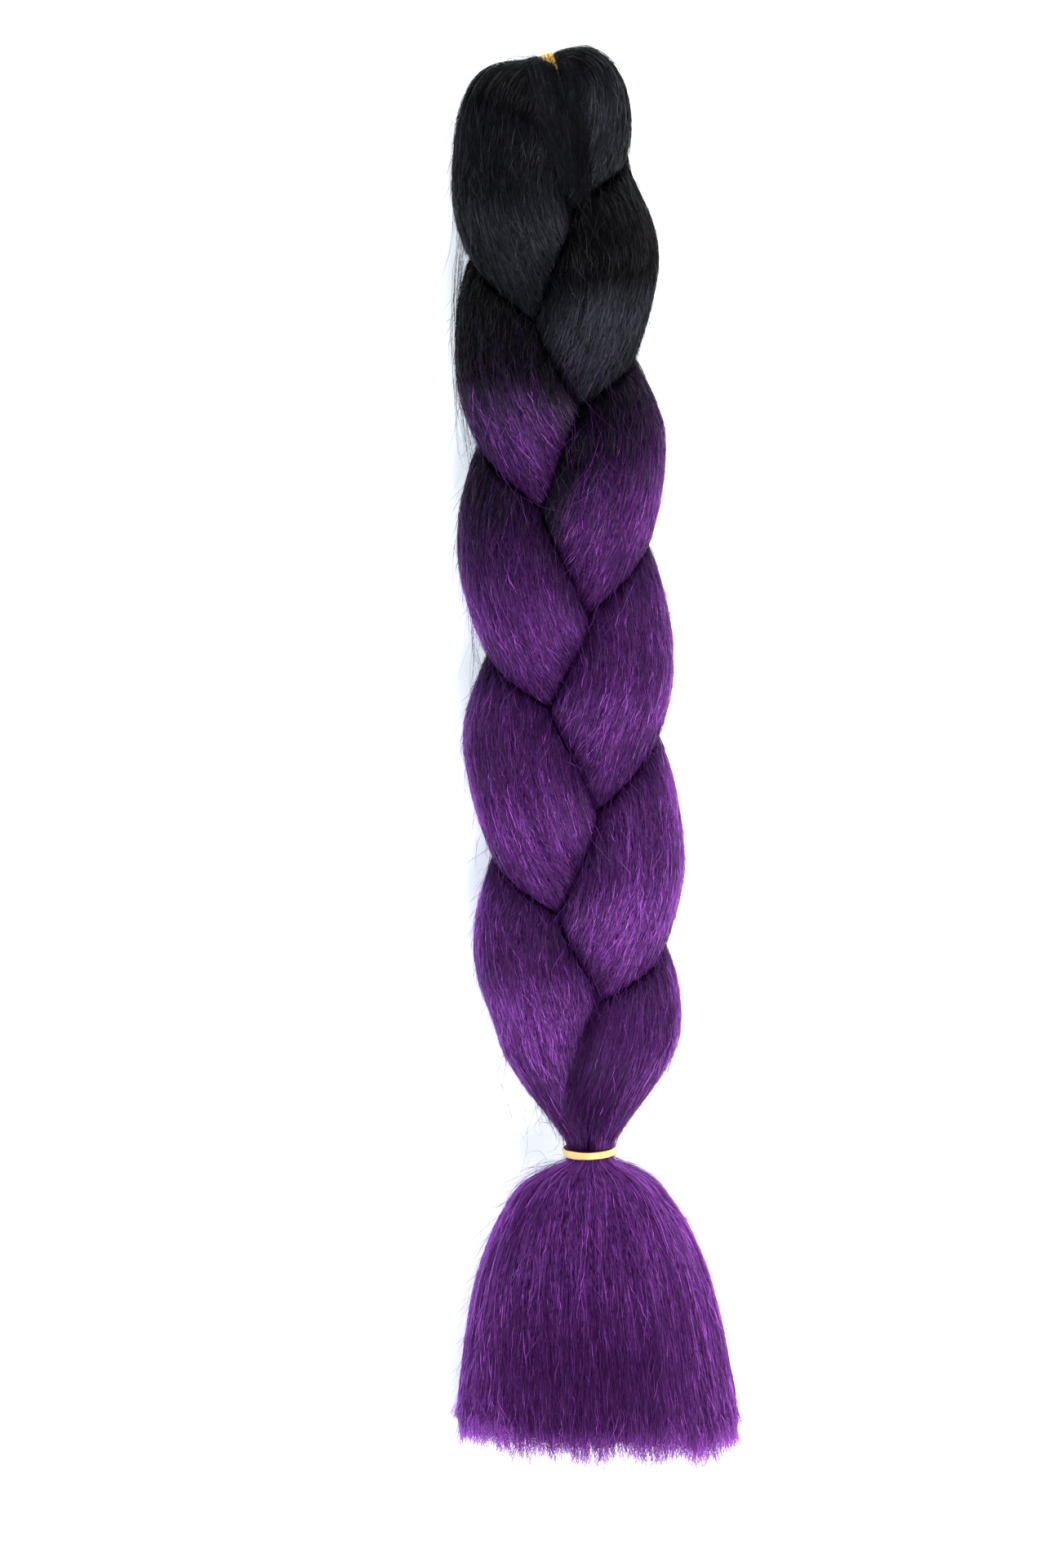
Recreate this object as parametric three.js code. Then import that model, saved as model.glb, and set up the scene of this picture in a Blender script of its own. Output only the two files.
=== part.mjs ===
// A bundle of braiding hair, lying flat. One long hank of loose fibre is bound at its middle by a
// rubber band and folded double there. The two legs are parted into three fat strands, plaited, and
// bound again by a second band. Below that band the cut ends spread into a brush.
//
// Millimetres, +Z up. The plait runs along Y, with its fold towards +Y and its cut ends towards -Y.
// Inside this file a place is given in plan as x, across the plait, and s, the station down its
// length from the top of the fold. z is the height above the plait's mid-plane.
import * as THREE from "three";

// The plait
const PLAIT_LENGTH = 474; // from the top of the fold to the tie
const PLAIT_WIDTH = 90; // across two full lobes
const PLAIT_THICKNESS = 55; // where one strand lies over another
const STRAND_WIDTH = 52;
const STRAND_THICKNESS = 40;
const STRAND_GAP = 1.8; // between strands at the surface, where they press on each other
const CORE_GAP = 3.2; // the same deep inside, where the gap widens to the plait's hollow core
const SETTLE = 2.5; // how far the underside is pressed flat where it lies

// The fold
const FOLD_LENGTH = 54; // from the top to where all three strands run down the plait
const HANK_DIAMETER = 17; // the hank where the fold's band binds it
const HANK_TILT = 18; // degrees that the hank climbs towards the right lobe at that band
const FOLD_BAND_X = 3.7;
const FOLD_BAND_STATION = 10.8;

// The brush of cut ends
const BRUSH_LENGTH = 136;
const BRUSH_WIDTH = 120;
const BRUSH_THICKNESS = 52;
const LOCK_COUNT = 26;
const LOCK_GROOVE = 1.3; // depth of the grooves between locks
const LOCK_RAGGED = 3.5; // how much the tips of the locks differ in length
const BRUSH_SWAY = 1; // how far its middle lies to the left of the plait's
const BRUSH_HOLLOW = 5; // how far the middle of the cut end lies behind its rim

// The two rubber bands
const TIE_DIAMETER = 20.6; // the plait where the tie binds it
const TIE_BAND_WIDTH = 3.4;
const FOLD_BAND_WIDTH = 5;
const BAND_THICKNESS = 1.3;
const BAND_CLEARANCE = 0.45;
const TIE_BAND_TILT = 8; // degrees that the tie leans towards the brush on its upper side
const END_GAP = 0.3; // between the ends of pieces that meet face to face

// How finely the surfaces are drawn
const STATION_STEP = 6.4;
const FOLD_STEPS = 2; // sections to each row of the fold
const STRAND_SIDES = 18;
const BRUSH_STATIONS = 13;
const BAND_SIDES = 28;

// The shares of the full swing and of a strand's full sizes that fit three strands into the tie.
function tiedShares() {
  return {
    swing: (0.42 * TIE_DIAMETER) / (PLAIT_WIDTH - STRAND_WIDTH),
    width: (0.58 * TIE_DIAMETER) / STRAND_WIDTH,
    thickness: (0.6 * TIE_DIAMETER) / STRAND_THICKNESS,
  };
}

// Each lobe, from the fold down. A strand reaches the outer edge at each, left and right in turn, and
// the next one is due at the other edge. The three strands follow each other 120 degrees apart.
// at: share of the way from the fold's top to the tie. turn: how many lobes the plait has gone
// through, which slows where the tie stops it. swing, width and thickness: shares of the
// full sizes. lead: degrees by which a strand is already on its way over when it reaches the edge.
const LOBES = [
  { at: 0.105, turn: 0, swing: 0.78, width: 0.99, thickness: 0.93, lead: 27 },
  { at: 0.187, turn: 1, swing: 1, width: 1, thickness: 1, lead: 8 },
  { at: 0.283, turn: 2, swing: 0.95, width: 0.95, thickness: 1, lead: 8 },
  { at: 0.358, turn: 3, swing: 0.99, width: 0.99, thickness: 0.99, lead: 10 },
  { at: 0.455, turn: 4, swing: 1.01, width: 1.01, thickness: 1, lead: 8 },
  { at: 0.55, turn: 5, swing: 0.98, width: 0.98, thickness: 1, lead: 8 },
  { at: 0.63, turn: 6, swing: 1.03, width: 1.03, thickness: 1, lead: 8 },
  { at: 0.735, turn: 7, swing: 1.01, width: 1.01, thickness: 1, lead: 10 },
  { at: 0.821, turn: 8, swing: 1.01, width: 1.01, thickness: 1, lead: 8 },
  { at: 0.902, turn: 8.7, swing: 0.93, width: 0.9, thickness: 0.9, lead: 30 },
  { at: 1, turn: 8.8, ...tiedShares(), lead: 50 },
];
const DEGREES_A_LOBE = 60;

// A second, shorter wave in how a strand rises over the others and sinks under them: its share of the
// first, and the degrees by which it lags. It makes the crossings straight and the lobes pointed.
const CLIMB_SHARE = 0.25;
const CLIMB_LAG = 43;

// How each strand comes off the fold's band and turns down into the plait, a row for each section.
// left and right: the section's two edges in plan, across as a share of half the plait's width and
// down as a share of the fold's length. thickness and height: shares of half the strand's thickness.
// lean: how far the hair bulges back over the band, as a share of the band's width.
const FOLD = {
  left: [
    { left: [-0.093, 0.067], right: [0.053, 0.398], thickness: 0.6, height: 0.03, lean: 0 },
    { left: [-0.211, 0.1], right: [0.096, 0.448], thickness: 0.72, height: 0.1, lean: 1.6 },
    { left: [-0.378, 0.109], right: [0.15, 0.53], thickness: 0.82, height: 0.17, lean: 1 },
    { left: [-0.556, 0.154], right: [0.225, 0.63], thickness: 0.88, height: 0.26, lean: 0.4 },
    { left: [-0.7, 0.259], right: [0.28, 0.74], thickness: 0.91, height: 0.35, lean: 0 },
    { left: [-0.807, 0.444], right: [0.3, 0.825], thickness: 0.92, height: 0.37, lean: 0 },
    { left: [-0.88, 0.685], right: [0.31, 0.91], thickness: 0.93, height: 0.37, lean: 0 },
  ],
  front: [
    { left: [0.231, 0.339], right: [0.149, 0.035], thickness: 0.42, height: 0.24, lean: 0 },
    { left: [0.245, 0.381], right: [0.262, 0.022], thickness: 0.49, height: 0.27, lean: 1.2 },
    { left: [0.178, 0.419], right: [0.433, 0.015], thickness: 0.64, height: 0.27, lean: 0.7 },
    { left: [0.1, 0.456], right: [0.611, 0.12], thickness: 0.74, height: 0.23, lean: 0.2 },
    { left: [0, 0.509], right: [0.733, 0.287], thickness: 0.82, height: 0.15, lean: 0 },
    { left: [-0.111, 0.611], right: [0.793, 0.509], thickness: 0.88, height: 0.06, lean: 0 },
    { left: [-0.267, 0.806], right: [0.778, 0.759], thickness: 0.92, height: 0, lean: 0 },
  ],
  back: [
    { left: [0.231, 0.339], right: [0.144, 0.076], thickness: 0.42, height: -0.24, lean: 0 },
    { left: [0.236, 0.381], right: [0.254, 0.063], thickness: 0.5, height: -0.34, lean: 1.2 },
    { left: [0.178, 0.419], right: [0.42, 0.056], thickness: 0.62, height: -0.42, lean: 0.7 },
    { left: [0.1, 0.456], right: [0.593, 0.161], thickness: 0.74, height: -0.46, lean: 0.2 },
    { left: [0, 0.509], right: [0.711, 0.328], thickness: 0.82, height: -0.48, lean: 0 },
    { left: [-0.111, 0.611], right: [0.77, 0.55], thickness: 0.88, height: -0.44, lean: 0 },
    { left: [-0.267, 0.806], right: [0.754, 0.8], thickness: 0.92, height: -0.37, lean: 0 },
  ],
};
const HALF_HANK_WIDTH = 0.86; // of the hank's, for each of two strands that share the band
const HALF_HANK_THICKNESS = 0.62;
const HALF_HANK_HEIGHT = 0.38; // of the hank's radius, from its middle to each of those two

// The three strands. turn: degrees of the plait's cycle where the strand starts, -90 at the left edge
// and 90 at the right. side and height: which side of the fold's band it leaves, and at which
// height in the hank, 0 for a strand that fills the band.
const STRANDS = [
  { name: "strand_left", fold: FOLD.left, turn: -90, side: -1, height: 0, color: 0x3a1b4a },
  { name: "strand_back", fold: FOLD.back, turn: 30, side: 1, height: -1, color: 0x4a2160 },
  { name: "strand_front", fold: FOLD.front, turn: 150, side: 1, height: 1, color: 0x2c1738 },
];

// The brush below the tie, a row for each section: at is a share of its length, and width and
// thickness are shares of the full sizes. drop: share of half its thickness that it hangs low.
const BRUSH = [
  { at: 0.06, width: 0.34, thickness: 0.54, drop: 0 },
  { at: 0.1, width: 0.49, thickness: 0.68, drop: 0.01 },
  { at: 0.17, width: 0.61, thickness: 0.8, drop: 0.02 },
  { at: 0.29, width: 0.755, thickness: 0.92, drop: 0.04 },
  { at: 0.42, width: 0.855, thickness: 0.98, drop: 0.06 },
  { at: 0.56, width: 0.92, thickness: 1, drop: 0.07 },
  { at: 0.72, width: 0.965, thickness: 0.99, drop: 0.08 },
  { at: 0.88, width: 1, thickness: 0.96, drop: 0.1 },
  { at: 1, width: 1, thickness: 0.92, drop: 0.12 },
];

// The line of the cut. across: -1 at the left edge and 1 at the right. short: share of the
// brush's length by which the locks end early there.
const CUT = [
  { across: -1, short: 0.105 },
  { across: -0.7, short: 0.075 },
  { across: -0.35, short: 0.04 },
  { across: 0, short: 0.028 },
  { across: 0.35, short: 0.02 },
  { across: 0.75, short: 0.01 },
  { across: 1, short: 0.06 },
];

const HALF_WIDTH = PLAIT_WIDTH / 2;
const HALF_THICKNESS = STRAND_THICKNESS / 2;
const FLOOR = SETTLE - PLAIT_THICKNESS / 2;
const TIE_RADIUS = TIE_DIAMETER / 2;
const degrees = THREE.MathUtils.degToRad;
const TIE_NECK = // the straight length to each side of the tie's middle
  TIE_BAND_WIDTH / 2 + (TIE_RADIUS + BAND_THICKNESS) * Math.sin(degrees(TIE_BAND_TILT)) + BAND_CLEARANCE;

// A value between the rows of a table, on a smooth curve that doesn't swing past them.
function along(rows, key, column, at) {
  const last = rows.length - 1;
  if (at <= rows[0][key]) return rows[0][column];
  if (at >= rows[last][key]) return rows[last][column];
  const i = rows.findIndex((row) => row[key] > at) - 1;
  const slope = (k) => (rows[k + 1][column] - rows[k][column]) / (rows[k + 1][key] - rows[k][key]);
  const tangent = (k) => {
    if (k === 0 || k === last) return slope(Math.min(k, last - 1));
    const [a, b] = [slope(k - 1), slope(k)];
    return a * b <= 0 ? 0 : (2 * a * b) / (a + b);
  };
  const span = rows[i + 1][key] - rows[i][key];
  const u = (at - rows[i][key]) / span;
  const [u2, u3] = [u * u, u * u * u];
  return (
    (2 * u3 - 3 * u2 + 1) * rows[i][column] +
    (u3 - 2 * u2 + u) * span * tangent(i) +
    (3 * u2 - 2 * u3) * rows[i + 1][column] +
    (u3 - u2) * span * tangent(i + 1)
  );
}

// A strand's section from its two edges in plan: its middle, the direction from left to right, the
// direction down the strand, and half its width and thickness.
function section(left, right, halfThickness, z, lean = 0) {
  const across = right.clone().sub(left);
  const halfWidth = across.length() / 2;
  across.normalize();
  return {
    middle: left.clone().add(right).multiplyScalar(0.5),
    across,
    down: new THREE.Vector2(-across.y, across.x),
    halfWidth,
    halfThickness,
    z,
    lean,
  };
}

// The section of a strand in the plait at station s.
const PLAITED_LENGTH = PLAIT_LENGTH - TIE_NECK; // the tie holds the strands straight below
function plaitSection(strand, s) {
  const at = s / PLAITED_LENGTH;
  const width = along(LOBES, "at", "width", at);
  const swing = along(LOBES, "at", "swing", at);
  const thickness = along(LOBES, "at", "thickness", at);
  const turn = strand.turn + along(LOBES, "at", "turn", at) * DEGREES_A_LOBE;
  const over = turn + along(LOBES, "at", "lead", at);
  const x = (Math.sin(degrees(turn)) * swing * (PLAIT_WIDTH - STRAND_WIDTH)) / 2;
  const rise = Math.sin(degrees(2 * over)) + CLIMB_SHARE * Math.sin(degrees(4 * (over - CLIMB_LAG)));
  const z = (-rise * swing * (PLAIT_THICKNESS - STRAND_THICKNESS)) / 2;
  const halfWidth = (width * STRAND_WIDTH) / 2;
  return section(
    new THREE.Vector2(x - halfWidth, s),
    new THREE.Vector2(x + halfWidth, s),
    thickness * HALF_THICKNESS,
    z,
  );
}

// The section of a strand at the fold's band, some way off the middle of the band.
function hankSection(strand, away) {
  const tilt = degrees(HANK_TILT);
  const middle = new THREE.Vector2(FOLD_BAND_X, FOLD_BAND_STATION).add(
    new THREE.Vector2(Math.cos(tilt), -Math.sin(tilt)).multiplyScalar(strand.side * away),
  );
  const [width, thickness] = strand.height ? [HALF_HANK_WIDTH, HALF_HANK_THICKNESS] : [1, 1];
  const edge = new THREE.Vector2(Math.sin(tilt), Math.cos(tilt)).multiplyScalar(
    (-strand.side * width * HANK_DIAMETER) / 2,
  );
  return section(
    middle.clone().sub(edge),
    middle.clone().add(edge),
    (thickness * HANK_DIAMETER) / 2,
    (strand.height * HALF_HANK_HEIGHT * HANK_DIAMETER) / 2,
  );
}

// Sections between two others, their edges on a smooth curve through the neighbours as well.
function between(before, from, to, after, u) {
  const blend = (read) => {
    const [a, b, c, d] = [before, from, to, after].map(read);
    const bend = 2 * a - 5 * b + 4 * c - d + (3 * b - a - 3 * c + d) * u;
    return b + 0.5 * u * (c - a + u * bend);
  };
  const edge = (sign) =>
    new THREE.Vector2(
      ...["x", "y"].map((k) => blend((one) => one.middle[k] + sign * one.halfWidth * one.across[k])),
    );
  return section(
    edge(-1),
    edge(1),
    ...["halfThickness", "z", "lean"].map((k) => blend((one) => one[k])),
  );
}

// All the sections of a strand, from the fold's band to the tie.
function strandSections(strand) {
  const point = ([across, down]) => new THREE.Vector2(across * HALF_WIDTH, down * FOLD_LENGTH);
  const neckLength = FOLD_BAND_WIDTH / 2 + BAND_CLEARANCE;
  const rows = [
    hankSection(strand, END_GAP / 2),
    hankSection(strand, neckLength),
    ...strand.fold.map((row) =>
      section(
        point(row.left),
        point(row.right),
        row.thickness * HALF_THICKNESS,
        row.height * HALF_THICKNESS,
        row.lean * FOLD_BAND_WIDTH,
      ),
    ),
    plaitSection(strand, FOLD_LENGTH),
    plaitSection(strand, FOLD_LENGTH + STATION_STEP),
  ];
  const sections = [rows[0]];
  for (let i = 1; i < rows.length - 2; i++)
    for (let k = 0; k < FOLD_STEPS; k++)
      sections.push(between(rows[i - 1], rows[i], rows[i + 1], rows[i + 2], k / FOLD_STEPS));
  const count = Math.ceil((PLAITED_LENGTH - FOLD_LENGTH) / STATION_STEP);
  const step = (PLAITED_LENGTH - FOLD_LENGTH) / count;
  for (let i = 0; i <= count; i++) sections.push(plaitSection(strand, FOLD_LENGTH + i * step));
  sections.push(plaitSection(strand, PLAIT_LENGTH - END_GAP / 2));
  return sections;
}

// How deep a point lies in a strand: 0 on its centreline, 1 on its free outline, and infinite
// beyond its ends.
function depthIn(sections, x, s, z) {
  let least = Infinity;
  let to = null;
  let past = 0;
  for (const next of sections) {
    const from = to;
    const before = past;
    to = next;
    past = (x - to.middle.x) * to.down.x + (s - to.middle.y) * to.down.y;
    if (!from || before < 0 || past > 0) continue;
    const u = before === past ? 0 : before / (before - past);
    const mix = (a, b) => a + (b - a) * u;
    const dx = x - mix(from.middle.x, to.middle.x);
    const ds = s - mix(from.middle.y, to.middle.y);
    const ax = mix(from.across.x, to.across.x);
    const as = mix(from.across.y, to.across.y);
    const wide = (dx * ax + ds * as) / Math.hypot(ax, as) / mix(from.halfWidth, to.halfWidth);
    const high = (z - mix(from.z, to.z)) / mix(from.halfThickness, to.halfThickness);
    least = Math.min(least, Math.hypot(wide, high));
  }
  return least;
}

// Whether a point of a section, at this angle and share of its free outline, is the strand's own:
// it is above the floor, and deeper in this strand than in the others.
function isOwn(one, angle, share, others) {
  const [wide, high] = [Math.cos(angle) * one.halfWidth, Math.sin(angle) * one.halfThickness];
  const gap = STRAND_GAP + (CORE_GAP - STRAND_GAP) * (1 - share);
  const margin = gap / ((one.halfThickness + HALF_THICKNESS) / 2);
  const x = one.middle.x + one.across.x * wide * share;
  const s = one.middle.y + one.across.y * wide * share;
  const z = one.z + high * share;
  return z > FLOOR && others.every((sections) => share < depthIn(sections, x, s, z) - margin);
}

// The last value for which a test holds, where it holds at the first value and not at the last.
function edgeOf(first, last, holds) {
  let [inside, outside] = [first, last];
  for (let i = 0; i < 14; i++) {
    const middle = (inside + outside) / 2;
    if (holds(middle)) inside = middle;
    else outside = middle;
  }
  return inside;
}

// How far the surface gets from the middle of a section at this angle, as a share of its outline.
function reach(one, angle, others) {
  const holds = (share) => isOwn(one, angle, share, others);
  const coarse = 16;
  for (let i = 1; i <= coarse; i++)
    if (!holds(i / coarse)) return edgeOf((i - 1) / coarse, i / coarse, holds);
  return 1;
}

// The angles of a section's points: evenly round it, but with the nearest point moved onto each
// crease, where the outline starts or stops being free.
function ringAngles(one, others) {
  const even = (k) => (2 * Math.PI * k) / STRAND_SIDES;
  const angles = Array.from({ length: STRAND_SIDES }, (_, k) => even(k));
  const free = angles.map((angle) => isOwn(one, angle, 1, others));
  for (let k = 0; k < STRAND_SIDES; k++) {
    const next = (k + 1) % STRAND_SIDES;
    if (free[k] === free[next]) continue;
    const [own, other] = free[k] ? [even(k), even(k + 1)] : [even(k + 1), even(k)];
    const crease = edgeOf(own, other, (angle) => isOwn(one, angle, 1, others));
    if (Math.abs(crease - even(k)) < Math.abs(crease - even(k + 1))) angles[k] = crease;
    else angles[next] = crease;
  }
  return angles;
}

// A closed solid through rings of points that all have as many points, closed at each end by a fan
// from the point given for it. Of the two ways to halve a face, it takes the one that keeps the
// points marked as outer together, if the points are marked.
function skin(rings, first, last) {
  const sides = rings[0].length;
  const points = [...rings.flat(), first, last];
  const faces = [];
  for (let i = 0; i < rings.length - 1; i++)
    for (let k = 0; k < sides; k++) {
      const [a, b] = [i * sides + k, i * sides + ((k + 1) % sides)];
      const [c, d] = [a + sides, b + sides];
      const outer = (p, q) => (points[p].outer ?? 0) + (points[q].outer ?? 0);
      if (outer(a, d) > outer(b, c)) faces.push(a, b, d, a, d, c);
      else faces.push(a, b, c, b, d, c);
    }
  for (let k = 0; k < sides; k++) {
    const next = (k + 1) % sides;
    const end = (rings.length - 1) * sides;
    faces.push(points.length - 2, next, k, points.length - 1, end + k, end + next);
  }
  const geometry = new THREE.BufferGeometry().setFromPoints(points);
  geometry.setIndex(faces);
  geometry.computeVertexNormals();
  return geometry;
}

const place = (x, s, z) => new THREE.Vector3(x, -s, z);

function strandGeometry(sections, others) {
  const rings = sections.map((one) =>
    ringAngles(one, others).map((angle) => {
      const share = reach(one, angle, others);
      const wide = Math.cos(angle) * one.halfWidth * share;
      const high = Math.sin(angle) * one.halfThickness * share;
      const over = Math.max(0, Math.abs(high) - HANK_DIAMETER / 2);
      const lean = over ? (one.lean * over) / (one.halfThickness - HANK_DIAMETER / 2) : 0;
      const point = place(
        one.middle.x + one.across.x * wide - one.down.x * lean,
        one.middle.y + one.across.y * wide - one.down.y * lean,
        Math.max(FLOOR, one.z + high),
      );
      point.outer = share;
      return point;
    }),
  );
  const middle = (one) => place(one.middle.x, one.middle.y, one.z);
  return skin(rings, middle(sections[0]), middle(sections[sections.length - 1]));
}

// Where the tip of each lock ends, so that the cut looks ragged and not sawn.
const raggedTip = (lock) => (LOCK_RAGGED * (Math.sin(lock * 2.4) + Math.sin(lock * 5.1 + 1))) / 2;

// The brush: a neck under the tie, then a low dome of locks that spreads to the cut.
function brushGeometry() {
  const neckShare = TIE_NECK / BRUSH_LENGTH;
  const neck = { width: TIE_DIAMETER / BRUSH_WIDTH, thickness: TIE_DIAMETER / BRUSH_THICKNESS, drop: 0 };
  const rows = [{ at: END_GAP / 2 / BRUSH_LENGTH, ...neck }, { at: neckShare, ...neck }, ...BRUSH];
  const sides = LOCK_COUNT * 2;
  const ring = (at, size, pull, tips) =>
    Array.from({ length: sides }, (_, k) => {
      const angle = (2 * Math.PI * k) / sides;
      const halfWidth = (along(rows, "at", "width", at) * BRUSH_WIDTH) / 2;
      const halfThickness = (along(rows, "at", "thickness", at) * BRUSH_THICKNESS) / 2;
      const drop = (along(rows, "at", "drop", at) * BRUSH_THICKNESS) / 2;
      const open = Math.min(1, (halfWidth - TIE_RADIUS) / TIE_RADIUS);
      const groove = k % 2 ? LOCK_GROOVE * Math.max(0, open) : 0;
      const across = Math.cos(angle) * size;
      const short = tips * (along(CUT, "across", "short", across) * BRUSH_LENGTH + groove);
      const ragged = k % 2 ? 0 : tips * raggedTip(k / 2);
      return place(
        across * (halfWidth - groove) - BRUSH_SWAY * Math.max(0, open),
        PLAIT_LENGTH + at * BRUSH_LENGTH - short - ragged - pull,
        Math.max(FLOOR, Math.sin(angle) * size * (halfThickness - groove) - drop),
      );
    });
  const rings = rows.slice(0, 2).map((row) => ring(row.at, 1, 0, 0));
  const spread = (i) => neckShare + (1 - neckShare) * Math.pow(i / BRUSH_STATIONS, 1.6);
  for (let i = 1; i <= BRUSH_STATIONS; i++) rings.push(ring(spread(i), 1, 0, Math.pow(spread(i), 4)));
  rings.push(ring(1, 0.75, BRUSH_HOLLOW * 0.6, 1));
  const drop = (BRUSH[BRUSH.length - 1].drop * BRUSH_THICKNESS) / 2;
  const end = PLAIT_LENGTH + BRUSH_LENGTH * (1 - along(CUT, "across", "short", 0)) - BRUSH_HOLLOW;
  return skin(rings, place(0, PLAIT_LENGTH + END_GAP / 2, 0), place(-BRUSH_SWAY, end, -drop));
}

// A flat rubber band round a neck, its edges rounded.
function bandGeometry(neckDiameter, width) {
  const inner = neckDiameter / 2 + BAND_CLEARANCE;
  const bevel = BAND_THICKNESS * 0.3;
  const [middle, half] = [inner + BAND_THICKNESS / 2, BAND_THICKNESS / 2];
  const profile = [
    [middle - half, bevel - width / 2],
    [middle - half + bevel, -width / 2],
    [middle + half - bevel, -width / 2],
    [middle + half, bevel - width / 2],
    [middle + half, width / 2 - bevel],
    [middle + half - bevel, width / 2],
    [middle - half + bevel, width / 2],
    [middle - half, width / 2 - bevel],
    [middle - half, bevel - width / 2],
  ].map(([r, y]) => new THREE.Vector2(r, y));
  return new THREE.LatheGeometry(profile, BAND_SIDES);
}

function solid(name, geometry, color, roughness) {
  const mesh = new THREE.Mesh(
    geometry,
    new THREE.MeshStandardMaterial({ color, roughness, metalness: 0 }),
  );
  mesh.name = name;
  return mesh;
}

const bundle = new THREE.Group();
const paths = STRANDS.map(strandSections);
STRANDS.forEach((strand, i) => {
  const others = paths.filter((_, k) => k !== i);
  bundle.add(solid(strand.name, strandGeometry(paths[i], others), strand.color, 0.55));
});
bundle.add(solid("brush", brushGeometry(), 0x5a2478, 0.6));

const tieBand = solid("tie_band", bandGeometry(TIE_DIAMETER, TIE_BAND_WIDTH), 0xeacb7c, 0.5);
tieBand.position.copy(place(0, PLAIT_LENGTH, 0));
tieBand.rotation.x = degrees(TIE_BAND_TILT);
bundle.add(tieBand);

const foldBand = solid("fold_band", bandGeometry(HANK_DIAMETER, FOLD_BAND_WIDTH), 0xdca531, 0.5);
foldBand.position.copy(place(FOLD_BAND_X, FOLD_BAND_STATION, 0));
foldBand.rotation.z = degrees(HANK_TILT - 90);
bundle.add(foldBand);

// The origin is on the surface that the bundle lies on, under the middle of its length and width.
const box = new THREE.Box3().setFromObject(bundle);
const middle = box.getCenter(new THREE.Vector3());
bundle.position.set(-middle.x, -middle.y, -box.min.z);

const part = new THREE.Group();
part.add(bundle);

export default part;
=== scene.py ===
"""The bundle of braiding hair, dressed for the render.

Each strand and the brush is a finely drawn body of hair on the form of its solid, with ribbons of
hair laid along it. The strands stand closer together than the solids do, so that the floor doesn't
show between them. Plan coordinates are in millimetres as in the part's source: x to the right, s
down the plait from its top, z up from its middle height. Numbers of hairs and ribbons are in metres.
"""

import math

import bpy
import numpy as np
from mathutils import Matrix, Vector

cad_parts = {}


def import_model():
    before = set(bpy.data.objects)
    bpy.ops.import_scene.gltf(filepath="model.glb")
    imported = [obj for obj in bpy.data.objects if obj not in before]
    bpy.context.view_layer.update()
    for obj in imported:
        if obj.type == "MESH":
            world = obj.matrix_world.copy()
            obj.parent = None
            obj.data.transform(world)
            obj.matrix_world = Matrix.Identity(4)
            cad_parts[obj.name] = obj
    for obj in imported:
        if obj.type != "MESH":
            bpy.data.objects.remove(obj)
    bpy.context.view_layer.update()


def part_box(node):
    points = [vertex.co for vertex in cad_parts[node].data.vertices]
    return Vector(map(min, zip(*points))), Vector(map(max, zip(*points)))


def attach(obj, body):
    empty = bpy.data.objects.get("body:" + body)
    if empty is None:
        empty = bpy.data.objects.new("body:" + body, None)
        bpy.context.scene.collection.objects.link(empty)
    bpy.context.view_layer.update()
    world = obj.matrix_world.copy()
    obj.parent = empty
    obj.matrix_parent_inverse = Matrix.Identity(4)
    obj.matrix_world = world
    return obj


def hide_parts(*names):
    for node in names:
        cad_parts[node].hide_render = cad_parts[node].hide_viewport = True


MM = 0.001

# The plait
PLAIT_LENGTH = 474.0
PLAIT_WIDTH = 90.0
PLAIT_THICKNESS = 55.0
STRAND_WIDTH = 52.0
STRAND_THICKNESS = 40.0
STRAND_GAP = 0.8
CORE_GAP = 1.0
SETTLE = 2.5
CLIMB_SHARE = 0.25
CLIMB_LAG = math.radians(43)

# The fold
FOLD_LENGTH = 54.0
HANK_DIAMETER = 17.0
HANK_TILT = math.radians(18)
FOLD_BAND_X = 3.7
FOLD_BAND_STATION = 10.8
HALF_HANK_WIDTH = 0.86
HALF_HANK_THICKNESS = 0.62
HALF_HANK_HEIGHT = 0.38

# The brush
BRUSH_LENGTH = 136.0
BRUSH_WIDTH = 120.0
BRUSH_THICKNESS = 52.0
BRUSH_SWAY = 1.0
BRUSH_HOLLOW = 5.0

# The bands
TIE_DIAMETER = 20.6
TIE_BAND_WIDTH = 3.4
FOLD_BAND_WIDTH = 5.0
BAND_THICKNESS = 1.3
BAND_CLEARANCE = 0.45
TIE_BAND_TILT = math.radians(8)
END_GAP = 0.3

TIE_RADIUS = TIE_DIAMETER / 2
FLOOR = SETTLE - PLAIT_THICKNESS / 2
TIE_NECK = (
    TIE_BAND_WIDTH / 2 + (TIE_RADIUS + BAND_THICKNESS) * math.sin(TIE_BAND_TILT) + BAND_CLEARANCE
)
PLAITED_LENGTH = PLAIT_LENGTH - TIE_NECK

# How finely the bodies of hair are drawn
STATION_STEP = 2.4
FOLD_STEPS = 5
STRAND_SIDES = 56
BRUSH_SIDES = 150
BRUSH_STATIONS = 56
BRUSH_CAPS = (0.86, 0.66, 0.42, 0.2)
BAND_STEPS = (96, 20)

# The cut: how far the body stops short of the tips, and how ragged its end is
TIPS = 8.5
RAGGED = 2.2

# Hairs: how many, points in each, shortest, longest, and how far down the first starts
STRAND_HAIR = dict(count=4700, points=14, shortest=0.026, longest=0.058, first=-0.012)
STRAND_FRIZZ = dict(count=6600, points=6, shortest=0.006, longest=0.017, first=-0.004)
BRUSH_HAIR = dict(count=5600, points=14, shortest=0.03, longest=0.07, first=0)
BRUSH_FRIZZ = dict(count=7400, points=6, shortest=0.007, longest=0.019, first=0)
STRAY_POINTS = 11

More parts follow.
